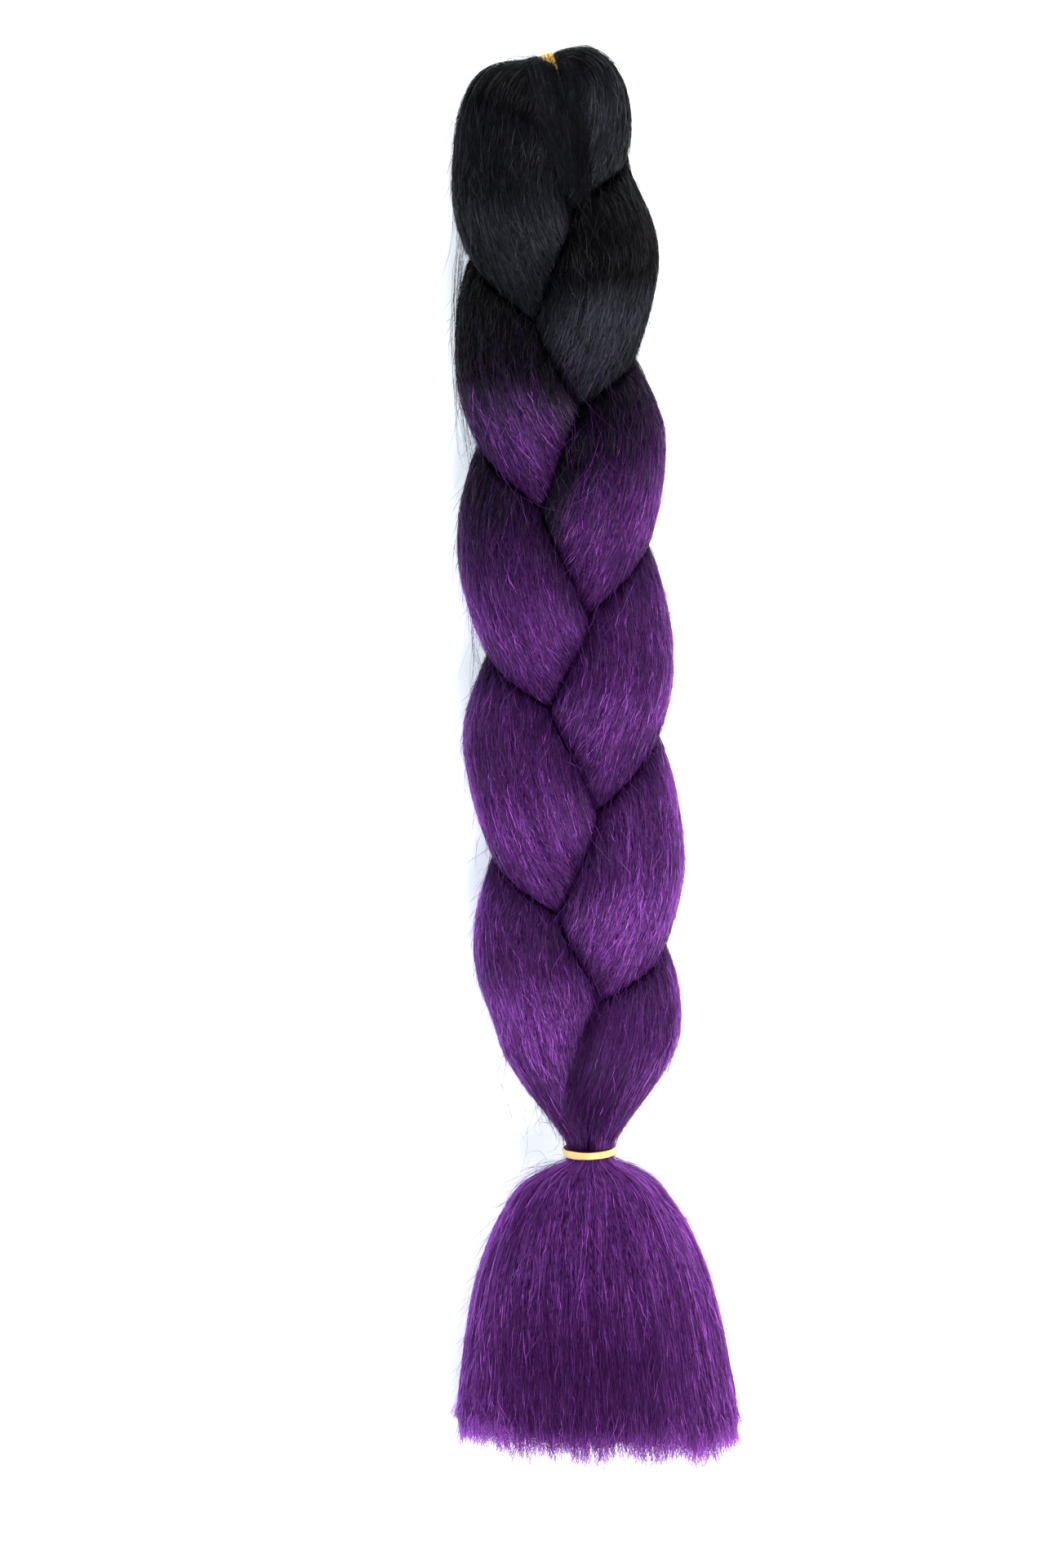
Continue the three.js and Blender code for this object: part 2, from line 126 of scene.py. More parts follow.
# What sets long hair and frizz apart: sideways drift, crimp, highest rise, width, lightness and its flecks
LONG = dict(drift=0.035, crimp=0.0002, rise=0.0009, width=(0.00015, 0.00031), light=1, fleck=0.42)
FRIZZ = dict(drift=0.16, crimp=0.00026, rise=0.0014, width=(0.00012, 0.00024), light=1.5, fleck=0.65)

# How much of the frizz stands free, how far on average, and the furthest
FREE_SHARE = {"plaited_hair": 0.4, "loose_hair": 0.6}
STAND = {"plaited_hair": 0.0015, "loose_hair": 0.0028}
FURTHEST = 0.0085

# How far hair runs past the cut, and how it spreads there
PAST_CUT = 0.013
SPREAD = [0.3, 0.1, 0.4]

# The change from black to purple: its length, and how much it varies from hair to hair
CHANGE_LENGTH = 82
CHANGE_SPREAD = 21

TIED = [
    0.42 * TIE_DIAMETER / (PLAIT_WIDTH - STRAND_WIDTH),
    0.58 * TIE_DIAMETER / STRAND_WIDTH,
    0.6 * TIE_DIAMETER / STRAND_THICKNESS,
]

# at, turn, swing, width, thickness and lead at each lobe, as in the part's source
LOBES = [
    [0.105, 0, 0.78, 0.99, 0.93, 27],
    [0.187, 1, 1, 1, 1, 8],
    [0.283, 2, 0.95, 0.95, 1, 8],
    [0.358, 3, 0.99, 0.99, 0.99, 10],
    [0.455, 4, 1.01, 1.01, 1, 8],
    [0.55, 5, 0.98, 0.98, 1, 8],
    [0.63, 6, 1.03, 1.03, 1, 8],
    [0.735, 7, 1.01, 1.01, 1, 10],
    [0.821, 8, 1.01, 1.01, 1, 8],
    [0.902, 8.7, 0.93, 0.9, 0.9, 30],
    [1, 8.8, *TIED, 50],
]

# Each strand off the fold's band: left edge, right edge, thickness, height, lean
LEFT_OF_FOLD = [
    [-0.093, 0.067, 0.053, 0.398, 0.6, 0.03, 0],
    [-0.211, 0.1, 0.096, 0.448, 0.72, 0.1, 1.6],
    [-0.378, 0.109, 0.15, 0.53, 0.82, 0.17, 1],
    [-0.556, 0.154, 0.225, 0.63, 0.88, 0.26, 0.4],
    [-0.7, 0.259, 0.28, 0.74, 0.91, 0.35, 0],
    [-0.807, 0.444, 0.3, 0.825, 0.92, 0.37, 0],
    [-0.88, 0.685, 0.31, 0.91, 0.93, 0.37, 0],
]
FRONT_OF_FOLD = [
    [0.231, 0.339, 0.149, 0.035, 0.42, 0.24, 0],
    [0.245, 0.381, 0.262, 0.022, 0.49, 0.27, 1.2],
    [0.178, 0.419, 0.433, 0.015, 0.64, 0.27, 0.7],
    [0.1, 0.456, 0.611, 0.12, 0.74, 0.23, 0.2],
    [0, 0.509, 0.733, 0.287, 0.82, 0.15, 0],
    [-0.111, 0.611, 0.793, 0.509, 0.88, 0.06, 0],
    [-0.267, 0.806, 0.778, 0.759, 0.92, 0, 0],
]
BACK_OF_FOLD = [
    [0.231, 0.339, 0.144, 0.076, 0.42, -0.24, 0],
    [0.236, 0.381, 0.254, 0.063, 0.5, -0.34, 1.2],
    [0.178, 0.419, 0.42, 0.056, 0.62, -0.42, 0.7],
    [0.1, 0.456, 0.593, 0.161, 0.74, -0.46, 0.2],
    [0, 0.509, 0.711, 0.328, 0.82, -0.48, 0],
    [-0.111, 0.611, 0.77, 0.55, 0.88, -0.44, 0],
    [-0.267, 0.806, 0.754, 0.8, 0.92, -0.37, 0],
]

# name, fold, degrees of the plait's cycle at its start, side of the fold's band, height in it, and where
# it turns purple: the station, and how much later at its left and right edge
STRANDS = [
    ["strand_left", LEFT_OF_FOLD, -90, -1, 0, 184, 80, -32],
    ["strand_back", BACK_OF_FOLD, 30, 1, -1, 198, -4, 22],
    ["strand_front", FRONT_OF_FOLD, 150, 1, 1, 162, 4, 50],
]

# at, width, thickness and drop of the brush
NECK = [TIE_DIAMETER / BRUSH_WIDTH, TIE_DIAMETER / BRUSH_THICKNESS, 0]
BRUSH = [
    [END_GAP / 2 / BRUSH_LENGTH, *NECK],
    [TIE_NECK / BRUSH_LENGTH, *NECK],
    [0.06, 0.34, 0.54, 0],
    [0.1, 0.49, 0.68, 0.01],
    [0.17, 0.61, 0.8, 0.02],
    [0.29, 0.755, 0.92, 0.04],
    [0.42, 0.855, 0.98, 0.06],
    [0.56, 0.92, 1, 0.07],
    [0.72, 0.965, 0.99, 0.08],
    [0.88, 1, 0.96, 0.1],
    [1, 1, 0.92, 0.12],
]
CUT = [
    [-1, 0.105],
    [-0.7, 0.075],
    [-0.35, 0.04],
    [0, 0.028],
    [0.35, 0.02],
    [0.75, 0.01],
    [1, 0.06],
]

# Loose hairs at the edges: the plan points they follow, how many, and their spread
SHEAVES = [
    [[[-37, 74], [-41.6, 108], [-43, 140], [-38, 172]], 30, (1.5, 9)],
    [[[-40, 214], [-41.5, 238], [-40.5, 256], [-37, 272]], 6, (1.2, 9)],
    [[[42, 80], [48, 130], [47, 165], [41, 205]], 5, (1.2, 9)],
]

# Sheets of hair that cross creases, over the fold's band and to the tie: left edge, right edge, how many
FOLD_SHEET = ([[-9, 7], [-5, 24], [1, 44], [6, 66]], [[10, 4], [15, 22], [16, 42], [15, 64]], 1500)
NECK_SHEET = ([[7, 412], [0, 432], [-8, 452], [-9, 464]], [[25, 402], [21, 428], [11, 452], [7, 464]], 1100)

# Narrow lines of dark hair where those sheets end, painted shade along the creases
FOLD_SHADE = ([[11, 38], [13, 54], [13, 72]], [[15, 36], [16, 54], [16.5, 70]], 260)
NECK_SHADE = ([[4.5, 412], [-2.5, 432], [-11, 456]], [[8, 410], [1, 432], [-8, 456]], 260)

# Hairs anywhere over the plait, and curls beside the tie and over the fold
ANYWHERE = 1100
TIE_CURLS = 16
FOLD_CURLS = 26

# Where the light catches the hair: strand, x, s, half width, half length, gain
GLINTS = [
    ["strand_front", 23, 46, 11, 22, 2.6],
    ["strand_left", 6, 70, 12, 24, 2],
    ["strand_back", 18, 118, 13, 20, 1.7],
    ["strand_front", -8, 170, 12, 18, 0.3],
    ["strand_front", 22, 252, 24, 34, 0.35],
    ["strand_back", 20, 336, 24, 40, 0.7],
]

# The map of heights that loose hairs are laid on, in cells of a millimetre
MAP_CORNER = np.array([-0.08, -0.34])
MAP_CELLS = (160, 680)

# The ribbons' map runs from black to purple between these, clear of its edges
MAP_BLACK = 0.045
MAP_PURPLE = 0.955
MAP_REACH = 0.015

# Colours of the darkest hair and of hair at the lightest shade, between which each hair's own tone and its
# painted light and shade are mixed, and how strong the painted rim light is
BLACK = (0.0009, 0.0009, 0.0014, 1)
BLACK_LIGHT = (0.042, 0.045, 0.058, 1)
PURPLE = (0.0085, 0.0006, 0.0165, 1)
PURPLE_LIGHT = (0.455, 0.112, 0.69, 1)
BRIGHTEST = 3
PAINTED_RIM_LIGHT = 1.15

# The colours of the bands
PALE = ((0.5, 0.33, 0.08, 1), (0.72, 0.54, 0.2, 1))
GOLDEN = ((0.72, 0.36, 0.015, 1), (0.95, 0.56, 0.06, 1))

# Lamps: name, place, aim, width, height, power and colour
LAMPS = [
    ["key", (0.45, -1.1, 1.4), (0, 0, 0), 0.9, 0.9, 40, (1, 1, 1)],
    ["second", (0.4, 1.25, 1.3), (0, 0, 0), 0.9, 0.9, 31, (1, 1, 1)],
    ["right", (1.3, 0, 0.3), (0, 0, 0.03), 0.3, 1.2, 20, (1, 1, 1)],
    ["left", (-1.3, 0, 0.3), (0, 0, 0.03), 0.3, 1.2, 20, (0.85, 0.92, 1)],
]
FLOOR_SIZE = 2.4

# The camera looks straight down on this point from this far, and sees this much each way
CAMERA_AIM = (-0.0213, -0.0092, 0.038)
CAMERA_DISTANCE = 1.6
CAMERA_REACH = 0.335
CAMERA_TURN = math.radians(2.38)


def along(rows, column, at):
    """A column between the rows of a table, on a smooth curve that doesn't swing past them."""
    rows = np.array(rows, float)
    x, y = rows[:, 0], rows[:, column]
    slope = np.diff(y) / np.diff(x)
    before, after = slope[:-1], slope[1:]
    total = np.where(before + after == 0, 1, before + after)
    inner = np.where(before * after > 0, 2 * before * after / total, 0)
    tangent = np.concatenate([slope[:1], inner, slope[-1:]])
    at = np.clip(at, x[0], x[-1])
    i = np.clip(np.searchsorted(x, at, side="right") - 1, 0, len(x) - 2)
    span = x[i + 1] - x[i]
    u = (at - x[i]) / span
    return (
        (2 * u**3 - 3 * u**2 + 1) * y[i]
        + (u**3 - 2 * u**2 + u) * span * tangent[i]
        + (3 * u**2 - 2 * u**3) * y[i + 1]
        + (u**3 - u**2) * span * tangent[i + 1]
    )


def unit(vectors):
    """Vectors made one long."""
    return vectors / np.maximum(np.linalg.norm(vectors, axis=-1, keepdims=True), 1e-12)


def plait_rows(turn, s):
    """Edges in plan, half thickness, height and lean of a strand's sections at stations s."""
    at = s / PLAITED_LENGTH
    swing = along(LOBES, 2, at)
    angle = np.radians(turn + along(LOBES, 1, at) * 60)
    over = angle + np.radians(along(LOBES, 5, at))
    x = np.sin(angle) * swing * (PLAIT_WIDTH - STRAND_WIDTH) / 2
    rise = np.sin(2 * over) + CLIMB_SHARE * np.sin(4 * (over - CLIMB_LAG))
    z = -rise * swing * (PLAIT_THICKNESS - STRAND_THICKNESS) / 2
    half = along(LOBES, 3, at) * STRAND_WIDTH / 2
    thick = along(LOBES, 4, at) * STRAND_THICKNESS / 2
    return np.stack([x - half, s, x + half, s, thick, z, 0 * s], axis=-1)


def hank_row(side, height, away):
    """The same for the section at the fold's band, some way off the middle of the band."""
    middle = np.array([FOLD_BAND_X, FOLD_BAND_STATION])
    middle = middle + side * away * np.array([math.cos(HANK_TILT), -math.sin(HANK_TILT)])
    width, thickness = (HALF_HANK_WIDTH, HALF_HANK_THICKNESS) if height else (1, 1)
    edge = -side * width * HANK_DIAMETER / 2 * np.array([math.sin(HANK_TILT), math.cos(HANK_TILT)])
    half = thickness * HANK_DIAMETER / 2
    return [*(middle - edge), *(middle + edge), half, height * HALF_HANK_HEIGHT * HANK_DIAMETER / 2, 0]


def strand_rows(fold, turn, side, height):
    """All the sections of a strand, and how many of them belong to the fold."""
    neck = FOLD_BAND_WIDTH / 2 + BAND_CLEARANCE
    scale = [PLAIT_WIDTH / 2, FOLD_LENGTH] * 2 + [STRAND_THICKNESS / 2] * 2 + [FOLD_BAND_WIDTH]
    ends = plait_rows(turn, FOLD_LENGTH + np.array([0, 6.4]))
    rows = np.array(
        [hank_row(side, height, END_GAP / 2), hank_row(side, height, neck)]
        + [list(np.array(row) * scale) for row in fold]
        + [list(row) for row in ends]
    )
    made = [rows[0], (rows[0] + rows[1]) / 2]
    for i in range(1, len(rows) - 2):
        a, b, c, d = rows[i - 1 : i + 3]
        for u in np.arange(FOLD_STEPS) / FOLD_STEPS:
            bend = 2 * a - 5 * b + 4 * c - d + (3 * b - a - 3 * c + d) * u
            made.append(b + 0.5 * u * (c - a + u * bend))
    folded = len(made)
    count = math.ceil((PLAITED_LENGTH - FOLD_LENGTH) / STATION_STEP)
    stations = np.append(np.linspace(FOLD_LENGTH, PLAITED_LENGTH, count + 1), PLAIT_LENGTH - END_GAP / 2)
    return np.concatenate([np.array(made), plait_rows(turn, stations)]), folded


def sections_of(rows):
    """x, s, across, down, half width, half thickness, height and lean, one array each."""
    left, right = rows[:, 0:2], rows[:, 2:4]
    across = unit(right - left)
    return {
        "middle": (left + right) / 2,
        "across": across,
        "down": np.stack([-across[:, 1], across[:, 0]], axis=-1),
        "width": np.linalg.norm(right - left, axis=-1) / 2,
        "thickness": rows[:, 4],
        "z": rows[:, 5],
        "lean": rows[:, 6],
    }


def depth_in(strand, x, s, z):
    """How deep points lie in a strand: 0 on its centreline, 1 on its outline, infinite past its ends."""
    one, first = strand
    least = np.full(x.shape, np.inf)
    stations = one["middle"][first:, 1]
    inside = (s >= stations[0]) & (s <= stations[-1])
    at = s[inside]
    read = lambda values: np.interp(at, stations, values[first:])
    wide = (x[inside] - read(one["middle"][:, 0])) / read(one["width"])
    high = (z[inside] - read(one["z"])) / read(one["thickness"])
    least[inside] = np.hypot(wide, high)
    near = s < stations[0] + 12
    if not near.any():
        return least
    px, ps, pz = x[near], s[near], z[near]
    best = least[near]
    past = None
    for i in range(first + 1):
        before = past
        past = (px - one["middle"][i, 0]) * one["down"][i, 0] + (ps - one["middle"][i, 1]) * one["down"][i, 1]
        if before is None:
            continue
        hit = (before >= 0) & (past <= 0)
        if not hit.any():
            continue
        u = np.where(before == past, 0, before / np.where(before == past, 1, before - past))[hit]
        mix = lambda values: values[i - 1] + (values[i] - values[i - 1]) * u
        dx = px[hit] - mix(one["middle"][:, 0])
        ds = ps[hit] - mix(one["middle"][:, 1])
        ax, down = mix(one["across"][:, 0]), mix(one["across"][:, 1])
        wide = (dx * ax + ds * down) / np.hypot(ax, down) / mix(one["width"])
        high = (pz[hit] - mix(one["z"])) / mix(one["thickness"])
        best[hit] = np.minimum(best[hit], np.hypot(wide, high))
    least[near] = best
    return least


def is_own(one, angle, share, others):
    """Whether points are a strand's own: above the floor and deeper in it than in the others."""
    column = lambda values: values[:, None]
    wide = np.cos(angle) * column(one["width"]) * share
    high = np.sin(angle) * column(one["thickness"]) * share
    margin = (STRAND_GAP + (CORE_GAP - STRAND_GAP) * (1 - share)) / (
        (column(one["thickness"]) + STRAND_THICKNESS / 2) / 2
    )
    x = column(one["middle"][:, 0]) + column(one["across"][:, 0]) * wide
    s = column(one["middle"][:, 1]) + column(one["across"][:, 1]) * wide
    z = column(one["z"]) + high
    own = z > FLOOR
    for other in others:
        own &= share < depth_in(other, x, s, z) - margin
    return own


def bisect(inside, outside, holds):
    """The last value for which a test holds, between arrays where it does and doesn't."""
    for _ in range(11):
        middle = (inside + outside) / 2
        good = holds(middle)
        inside = np.where(good, middle, inside)
        outside = np.where(good, outside, middle)
    return inside


def strand_grid(strand, others):
    """The strand's surface as a grid of plan points, with the share of its free outline at each."""
    one, _ = strand
    count = len(one["z"])
    even = np.tile(2 * np.pi * np.arange(STRAND_SIDES) / STRAND_SIDES, (count, 1))
    step = 2 * np.pi / STRAND_SIDES
    free = is_own(one, even, np.ones_like(even), others)
    after = np.roll(free, -1, axis=1)
    own = np.where(free, even, even + step)
    other = np.where(free, even + step, even)
    crease = bisect(own, other, lambda angle: is_own(one, angle, np.ones_like(even), others))
    crossing = free != after
    nearer = np.abs(crease - even) < step / 2
    angle = even.copy()
    angle[crossing & nearer] = crease[crossing & nearer]
    shifted = np.roll(np.where(crossing & ~nearer, crease, np.nan), 1, axis=1)
    shifted[:, 0] -= 2 * np.pi
    angle = np.where(np.isnan(shifted), angle, shifted)
    share = np.ones_like(angle)
    low = np.zeros_like(angle)
    failed = np.zeros(angle.shape, bool)
    for i in range(1, 17):
        bad = ~is_own(one, angle, np.full(angle.shape, i / 16), others) & ~failed
        low[bad] = (i - 1) / 16
        share[bad] = i / 16
        failed |= bad
    found = bisect(low, share, lambda value: is_own(one, angle, value, others))
    share = np.where(failed, found, 1)
    column = lambda values: values[:, None]
    wide = np.cos(angle) * column(one["width"]) * share
    high = np.sin(angle) * column(one["thickness"]) * share
    half_hank = HANK_DIAMETER / 2
    over = np.maximum(0, np.abs(high) - half_hank)
    lean = column(one["lean"]) * over / np.maximum(column(one["thickness"]) - half_hank, 0.01)
    x = column(one["middle"][:, 0]) + column(one["across"][:, 0]) * wide - column(one["down"][:, 0]) * lean
    s = column(one["middle"][:, 1]) + column(one["across"][:, 1]) * wide - column(one["down"][:, 1]) * lean
    z = np.maximum(FLOOR, column(one["z"]) + high)
    return np.stack([x, s, z], axis=-1), share


def noise(seed, *values):
    """Smooth noise of about -1 to 1 from a few waves, for values in radians."""
    waves = np.random.default_rng(seed)
    total = 0
    for _ in range(7):
        phase = waves.uniform(0, 2 * np.pi)
        turn = sum(waves.normal(0, 1) * value for value in values)
        total = total + np.sin(turn + phase)
    return total / 3.5


def mesh_piece(name, points, faces, material, loops=None, values=None):
    """A smooth mesh from points in metres. loops: UVs for each corner. values: one number a point."""
    mesh = bpy.data.meshes.new(name)
    mesh.from_pydata(points.tolist(), [], faces.tolist() if hasattr(faces, "tolist") else faces)
    mesh.polygons.foreach_set("use_smooth", np.ones(len(mesh.polygons), bool))
    for layer, corners in (loops or {}).items():
        mesh.uv_layers.new(name=layer).data.foreach_set("uv", corners.ravel())
    for label, numbers in (values or {}).items():
        mesh.attributes.new(label, "FLOAT", "POINT").data.foreach_set("value", numbers.ravel())
    mesh.materials.append(material)
    piece = bpy.data.objects.new(name, mesh)
    bpy.context.scene.collection.objects.link(piece)
    return piece


def dress(piece, slot, *nodes):
    """A piece put on the part's body, in place of its solid where it has one."""
    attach(piece, "root")
    if nodes:
        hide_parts(*nodes)


def surface_of(points, share, closed_middle):
    """What fibres need of a grid of points in metres: normals, lengths down it, and width of a column."""
    down = np.gradient(points, axis=0)
    round_it = (np.roll(points, -1, axis=1) - np.roll(points, 1, axis=1)) / 2
    normal = unit(np.cross(down, round_it))
    outward = points - points.mean(axis=1, keepdims=True)
    flipped = (normal * outward).sum() < 0
    normal = -normal if flipped else normal
    steps = np.linalg.norm(np.diff(closed_middle, axis=0), axis=-1)
    arc = np.concatenate([[0], np.cumsum(steps)])
    column = np.linalg.norm(round_it, axis=-1).mean()
    return {
        "points": points,
        "normal": normal,
        "share": share[..., None],
        "arc": arc,
        "column": column,
        "flipped": flipped,
    }


def sample(grid, i, j):
    """A grid's value at fractions of its rows and columns. The columns wrap round."""
    rows, columns = grid.shape[:2]
    i = np.clip(i, 0, rows - 1.001)
    j = np.mod(j, columns)
    i0 = i.astype(int)
    j0 = j.astype(int) % columns
    j1 = (j0 + 1) % columns
    fi, fj = (i - i0)[..., None], (j - np.floor(j))[..., None]
    near = grid[i0, j0] * (1 - fj) + grid[i0, j1] * fj
    far = grid[i0 + 1, j0] * (1 - fj) + grid[i0 + 1, j1] * fj
    return near * (1 - fi) + far * fi


def body_mesh(name, surface, first, last, material, values):
    """The closed body of a strand or the brush from its grid, with the flow of its hair as UVs in mm."""
    points = surface["points"]
    rows, columns = points.shape[:2]
    i, j = np.meshgrid(np.arange(rows - 1), np.arange(columns), indexing="ij")
    k = (j + 1) % columns
    corners = [i * columns + j, i * columns + k, (i + 1) * columns + k, (i + 1) * columns + j]
    quads = np.stack(corners, axis=-1).reshape(-1, 4)
    u = np.stack([j, j + 1, j + 1, j], axis=-1).reshape(-1, 4) * surface["column"] / MM
    arc = surface["arc"] / MM
    v = np.stack([arc[i], arc[i], arc[i + 1], arc[i + 1]], axis=-1).reshape(-1, 4)
    if surface["flipped"]:
        quads, u, v = quads[:, ::-1], u[:, ::-1], v[:, ::-1]
    faces = quads.tolist()
    flow = np.stack([u, v], axis=-1).reshape(-1, 2).tolist()
    end = (rows - 1) * columns
    for column in range(columns):
        after = (column + 1) % columns
        top = [rows * columns, column, after]
        tip = [rows * columns + 1, end + after, end + column]
        for face, length in ((top, 0), (tip, arc[-1])):
            faces.append(face if surface["flipped"] else face[::-1])
            flow += [[column * surface["column"] / MM, length]] * 3
    all_points = np.concatenate([points.reshape(-1, 3), [first, last]])
    with_ends = lambda grid: np.append(grid.ravel(), [grid[0].mean(), grid[-1].mean()])
    values = {key: with_ends(grid) for key, grid in values.items()}
    return mesh_piece(name, all_points, faces, material, {"flow": np.array(flow)}, values)


def ribbons(name, path, side, width, amount, shade, material):
    """Flat ribbons of hair. path: points of each hair. side: which way each is wide, at each point.

    Their UV map holds only what their colour depends on: how purple they are and their own shade.
    """
    count, length = path.shape[:2]
    half = side * (width / 2)[..., None]
    points = np.stack([path - half, path + half], axis=2).reshape(-1, 3)
    points[:, 2] = np.maximum(points[:, 2], 0.00004)
    hair, step = np.meshgrid(np.arange(count), np.arange(length - 1), indexing="ij")
    base = (hair * length + step) * 2
    faces = np.stack([base, base + 1, base + 3, base + 2], axis=-1).reshape(-1, 4)
    reach = np.linspace(-MAP_REACH, MAP_REACH, length)[None, :]
    u = 0.03 + 0.94 * np.clip(amount, 0, 1) + reach
    v = 0.02 + 0.96 * np.clip(shade / BRIGHTEST, 0, 1) + 0 * u
    low, high = v - 0.012, v + 0.012
    corner = lambda a: a[:, :-1]
    following = lambda a: a[:, 1:]
    us = np.stack([corner(u), corner(u), following(u), following(u)], axis=-1)
    vs = np.stack([corner(low), corner(high), following(high), following(low)], axis=-1)
    loops = np.stack([us, vs], axis=-1).reshape(-1, 2)
    return mesh_piece(name, points, faces, material, {"OFBake": loops})


def scatter(surface, rng, hairs):
    """Starts, lengths and columns for hairs whose middles lie on the open part of a surface."""
    tries = hairs["count"] * 4
    start = rng.uniform(hairs["first"], surface["arc"][-1] - 0.006, tries)
    length = rng.uniform(hairs["shortest"], hairs["longest"], tries)
    column = rng.uniform(0, surface["points"].shape[1], tries)
    middle = np.interp(start + length / 2, surface["arc"], np.arange(len(surface["arc"])))
    outer = sample(surface["share"], middle, column)[..., 0] > 0.985
    keep = np.flatnonzero(outer)[: hairs["count"]]
    return start[keep], length[keep], column[keep]


def add_hair(name, slot, surface, rng, places, count, kind, colour):
    """Ribbons of hair laid along a surface, each with its own place, waves, tilt and shade."""
    start, length, column = places
    hairs = len(start)
    columns = surface["points"].shape[1]
    arc = surface["arc"]
    loose = slot == "loose_hair"
    t = np.linspace(0, 1, count)[None, :]
    clump = noise(len(name) + columns, column * 2 * np.pi / columns * 6, start * 70)
    drift = 0.05 * clump + rng.normal(0, kind["drift"], hairs)
    travel = start[:, None] + length[:, None] * t
    rows = np.interp(travel, arc, np.arange(len(arc)))
    wave = np.cumsum(rng.normal(0, 1, (hairs, count)), axis=1)
    wave -= wave.mean(axis=1, keepdims=True)
    cols = column[:, None] + ((t - 0.5) * (length * drift)[:, None] + wave * 0.00018) / surface["column"]
    path = sample(surface["points"], rows, cols)
    normal = unit(sample(surface["normal"], rows, cols))
    share = sample(surface["share"], rows, cols)[..., 0]

    beyond = np.minimum(np.maximum(0, travel - arc[-1]), PAST_CUT)
    last = np.full(hairs, surface["points"].shape[0] - 1.01)
    heading = unit(sample(surface["points"], last, column) - sample(surface["points"], last - 3, column))
    splay = np.clip(rng.normal(0, 1, (hairs, 1, 3)), -1.2, 1.2) * SPREAD
    splay = splay * (beyond**1.5 / 0.1)[..., None]
    path = path + heading[:, None, :] * beyond[..., None] + splay

    tangent = unit(np.gradient(path, axis=1))
    side = unit(np.cross(tangent, normal))
    flip = np.where(np.arange(count) % 2, 1, -1)[None, :]
    crimp = kind["crimp"]
    path = path + side * (flip * rng.uniform(0.1, 1, (hairs, count)) * crimp)[..., None]
    rise = rng.uniform(0.0002, kind["rise"], (hairs, 1))
    lift = rise * np.sin(np.pi * t) ** 0.6 * share**2 + flip * rng.uniform(-0.5, 0.8, (hairs, count)) * crimp
    if kind is FRIZZ:
        free = rng.uniform(0, 1, (hairs, 1)) < FREE_SHARE[slot]
        stand = STAND[slot] * (1 + 0.8 * np.exp(-((normal[:, :1, 2] / 0.4) ** 2)))
        stand = np.minimum(stand * rng.exponential(1, (hairs, 1)), FURTHEST)
        lift = np.where(free & (beyond == 0), lift + stand * t**1.5 * share**6, lift)
    path = path + normal * lift[..., None]

    tilt = rng.uniform(-0.7, 0.7, (hairs, 1)) + rng.normal(0, 0.2, (hairs, count))
    wide = side * np.cos(tilt)[..., None] + normal * np.sin(tilt)[..., None]
    width = rng.uniform(*kind["width"], (hairs, 1)) * np.sin(np.pi * np.linspace(0.04, 0.96, count)) ** 0.4
    shade = 0.05 + 0.07 * clump + rng.exponential(0.19, hairs) * kind["light"]
    # Flecks: the shade varies at random along each hair, as painted highlights on its crimp.
    flecks = np.exp(rng.normal(-0.05, kind["fleck"], (hairs, count)))
    # Painted shade near the creases, where little of the outline is free, times the surface's painted light
    # and shade.
    shade = shade[:, None] * flecks * (0.3 + 0.7 * share**2) * sample(surface["painted_light"], rows, cols)[..., 0]
    # Painted rim light.
    shade = shade + PAINTED_RIM_LIGHT * sample(surface["rim"], rows, cols)[..., 0]
    # Loose tips past the cut are lighter: painted light.
    if loose:
        shade = shade + 0.8 * np.clip(beyond / 0.006, 0, 1)
    hair = ribbons(name, path, wide, width, colour(rows, cols), shade, LOOSE_FIBRE if loose else FIBRE)
    dress(hair, slot)


def material_of(name, roughness):
    """A new material with its nodes, links and shader."""
    material = bpy.data.materials.new(name)
    material.use_nodes = True
    nodes, links = material.node_tree.nodes, material.node_tree.links
    shader = nodes["Principled BSDF"]
    shader.inputs["Roughness"].default_value = roughness
    return material, nodes, links, shader


def node(nodes, kind, **settings):
    """A new node with sockets or settings given by name."""
    made = nodes.new(kind)
    for key, value in settings.items():
        if key in made.inputs:
            made.inputs[key].default_value = value
        else:
            setattr(made, key, value)
    return made


def maths(nodes, links, operation, first, second, third=None):
    """What a sum of numbers and sockets gives."""
    made = nodes.new("ShaderNodeMath")
    made.operation = operation
    for socket, value in zip(made.inputs, (first, second, third)):
        if value is None:
            continue
        if isinstance(value, (int, float)):
            socket.default_value = value
        else:
            links.new(value, socket)
    return made.outputs[0]


def mixed(nodes, links, factor, first, second):
    """One of two colours or a mix of both."""
    made = nodes.new("ShaderNodeMix")
    made.data_type = "RGBA"
    for socket, value in ((made.inputs[0], factor), (made.inputs[6], first), (made.inputs[7], second)):
        if hasattr(value, "is_linked"):
            links.new(value, socket)
        else:
            socket.default_value = value
    return made.outputs[2]


def fibre_material(name, tint):
    """The ribbons' colour comes from the two numbers in their UV map alone."""
    material, nodes, links, shader = material_of(name, 0.33)
    shader.inputs["Specular Tint"].default_value = tint
    shader.inputs["Specular IOR Level"].default_value = 0.065
    uv = node(nodes, "ShaderNodeUVMap", uv_map="OFBake")
    split = nodes.new("ShaderNodeSeparateXYZ")
    links.new(uv.outputs[0], split.inputs[0])
    dark = mixed(nodes, links, split.outputs[1], BLACK, BLACK_LIGHT)
    light = mixed(nodes, links, split.outputs[1], PURPLE, PURPLE_LIGHT)
    span = MAP_PURPLE - MAP_BLACK
    amount = maths(nodes, links, "MULTIPLY_ADD", split.outputs[0], 1 / span, -MAP_BLACK / span)
    links.new(mixed(nodes, links, amount, dark, light), shader.inputs["Base Color"])
    return material


